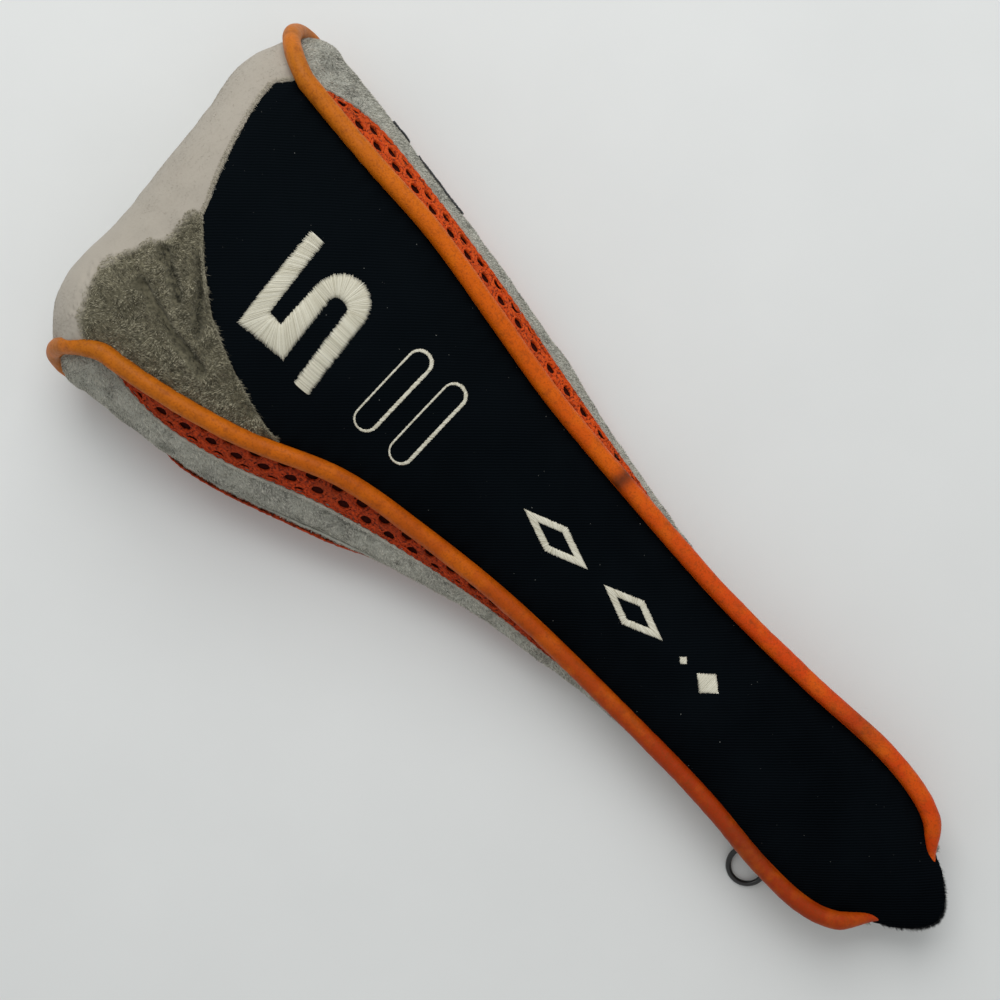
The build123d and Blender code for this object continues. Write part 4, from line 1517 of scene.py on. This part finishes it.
def make_webbing(loop, low, high, out):
    share = np.linspace(0, 1, 240)
    path = along_line(tab_line(loop, low, high, out), share)
    forward = unit(np.gradient(path, axis=0))
    across = stack(0.0, -forward[:, 1], forward[:, 0])
    section = np.linspace(-1, 1, 22)
    ribs = 0.05 * np.sin(share * 2 * np.pi * TAB_RIBS)[:, None] * np.ones(len(section))
    edge = TAB_PLY * 0.46 * (1 - np.abs(section) ** 8)[None] + ribs
    centre = stack(RING_X, path[:, 0], path[:, 1])
    wide = section[None, :, None] * np.array([TAB_WIDTH / 2, 0, 0])
    outer = centre[:, None] + wide + across[:, None] * edge[..., None]
    inner = centre[:, None] + wide - across[:, None] * edge[..., None]
    piece(shell("tab_webbing", outer, inner, WEBBING, 1), "webbing", "ring_tab")


def make_tack(low, high, run, out):
    """Bar tack that holds the strap's two ends."""
    middle = low + (high - low) * 0.7 + out * (TAB_PLY + 0.1)
    xs = np.linspace(RING_X - 2, RING_X + 2, TAB_TACKS)
    xs = xs + RNG.normal(scale=0.05, size=TAB_TACKS)
    first, last = middle - run * 0.8, middle + run * 0.8
    stops = np.linspace(0, 1, 6)
    flat = first + (last - first) * stops[:, None]
    lift = 0.22 * (1 - (2 * stops - 1) ** 4)
    flat = flat + out * lift[:, None]
    lines = np.stack([stack(x, flat[:, 0], flat[:, 1]) for x in xs])
    tack = tubes("tab_bar_tack", lines, 0.16, BLACK_THREAD, 6, up=(1, 0, 0), marks={"tint": 0.5})
    piece(tack, "black_thread", "tab_stitching")


def make_tab():
    loop, low, high, run, out = tab_points()
    make_webbing(loop, low, high, out)
    make_tack(low, high, run, out)


RING_STEPS, WIRE_STEPS = 120, 24


def make_ring():
    drop = TAB_LOOP[1] - WIRE_RADIUS
    lean = drop / (2 * RING_RADIUS)
    slope = np.array([0.0, np.sqrt(1 - lean * lean), -lean])
    centre = np.array([RING_X, *TAB_LOOP]) + slope * RING_RADIUS
    turn = np.arange(RING_STEPS) * (2 * np.pi / RING_STEPS)
    wire = np.arange(WIRE_STEPS) * (2 * np.pi / WIRE_STEPS)
    side = np.array([1.0, 0.0, 0.0])
    normal = np.cross(side, slope)
    radial = side * np.cos(turn)[:, None] + slope * np.sin(turn)[:, None]
    size = WIRE_RADIUS * (1 + 0.008 * np.sin(turn * 9))
    points = (
        centre
        + radial[:, None] * (RING_RADIUS + (size[:, None] * np.cos(wire)))[..., None]
        + normal * (size[:, None] * np.sin(wire))[..., None]
    )
    faces = quads(RING_STEPS, WIRE_STEPS, wrap=True) % (RING_STEPS * WIRE_STEPS)
    made = write_mesh("split_ring", points, faces, RING)
    piece(made, "ring_black", "ring", body="ring")


# ---------------------------------------------------------------- studio


FLOOR_HALF, FLOOR_CELLS = 4000.0, 60
SKY_COLOUR, SKY_STRENGTH = (0.99, 1.0, 1.0, 1), 0.52
LIGHT_AT, LIGHT_AIM = (0.55, -0.45, 0.80), (0.03, 0, 0)
LIGHT_SIZE, LIGHT_POWER = 0.9, 7.2


def make_floor():
    a, b = grid(FLOOR_CELLS, FLOOR_CELLS)
    points = stack(2 * a - 1, 2 * b - 1, 0.0 * a) * FLOOR_HALF + ORIGIN * [1, 1, 0]
    look = Look("studio_floor", 0.7, specular=0.2)
    base = look.mix(look.patches(60, 4), rgb(222, 224, 223), rgb(225, 227, 226))
    faces = quads(FLOOR_CELLS, FLOOR_CELLS)
    write_mesh("studio_floor", points, faces, look.colour(base))


def make_lights():
    world = bpy.data.worlds.new("soft_sky")
    world.use_nodes = True
    sky = world.node_tree.nodes["Background"]
    sky.inputs["Color"].default_value = SKY_COLOUR
    sky.inputs["Strength"].default_value = SKY_STRENGTH
    bpy.context.scene.world = world
    lamp = bpy.data.lights.new("key", "AREA")
    lamp.size, lamp.energy = LIGHT_SIZE, LIGHT_POWER
    thing = bpy.data.objects.new("key", lamp)
    bpy.context.scene.collection.objects.link(thing)
    thing.location = LIGHT_AT
    aim = Vector(LIGHT_AIM) - Vector(LIGHT_AT)
    thing.rotation_euler = aim.to_track_quat("-Z", "Y").to_euler()


CAMERA_HEIGHT, CAMERA_X = 0.620, 0.0209
CAMERA_HEADING = np.radians(43.53)
FOCAL_LENGTH, SENSOR_WIDTH = 69.4, 36.0


def make_camera():
    """Camera straight above the cover, turned about the vertical."""
    lens = bpy.data.cameras.new("camera")
    lens.lens, lens.sensor_width = FOCAL_LENGTH, SENSOR_WIDTH
    lens.clip_start, lens.clip_end = 0.01, 10
    camera = bpy.data.objects.new("camera", lens)
    bpy.context.scene.collection.objects.link(camera)
    right = (-np.cos(CAMERA_HEADING), -np.sin(CAMERA_HEADING), 0)
    up = (np.sin(CAMERA_HEADING), -np.cos(CAMERA_HEADING), 0)
    turn = Matrix((right, up, (0, 0, 1))).transposed().to_4x4()
    camera.matrix_world = Matrix.Translation((CAMERA_X, 0, CAMERA_HEIGHT)) @ turn
    bpy.context.scene.camera = camera
    bpy.context.scene.view_settings.view_transform = "Standard"


make_camera()
make_floor()
make_lights()
make_front()
make_nose()
make_fringe()
make_back()
for cover_side in SIDES:
    make_side(cover_side)
    make_piping(cover_side)
    for cover_face in ("front", "back"):
        make_mesh_strip(cover_side, cover_face)
make_embroidery()
make_side_bars()
make_inside()
make_mouth_fuzz()
make_tab()
make_ring()
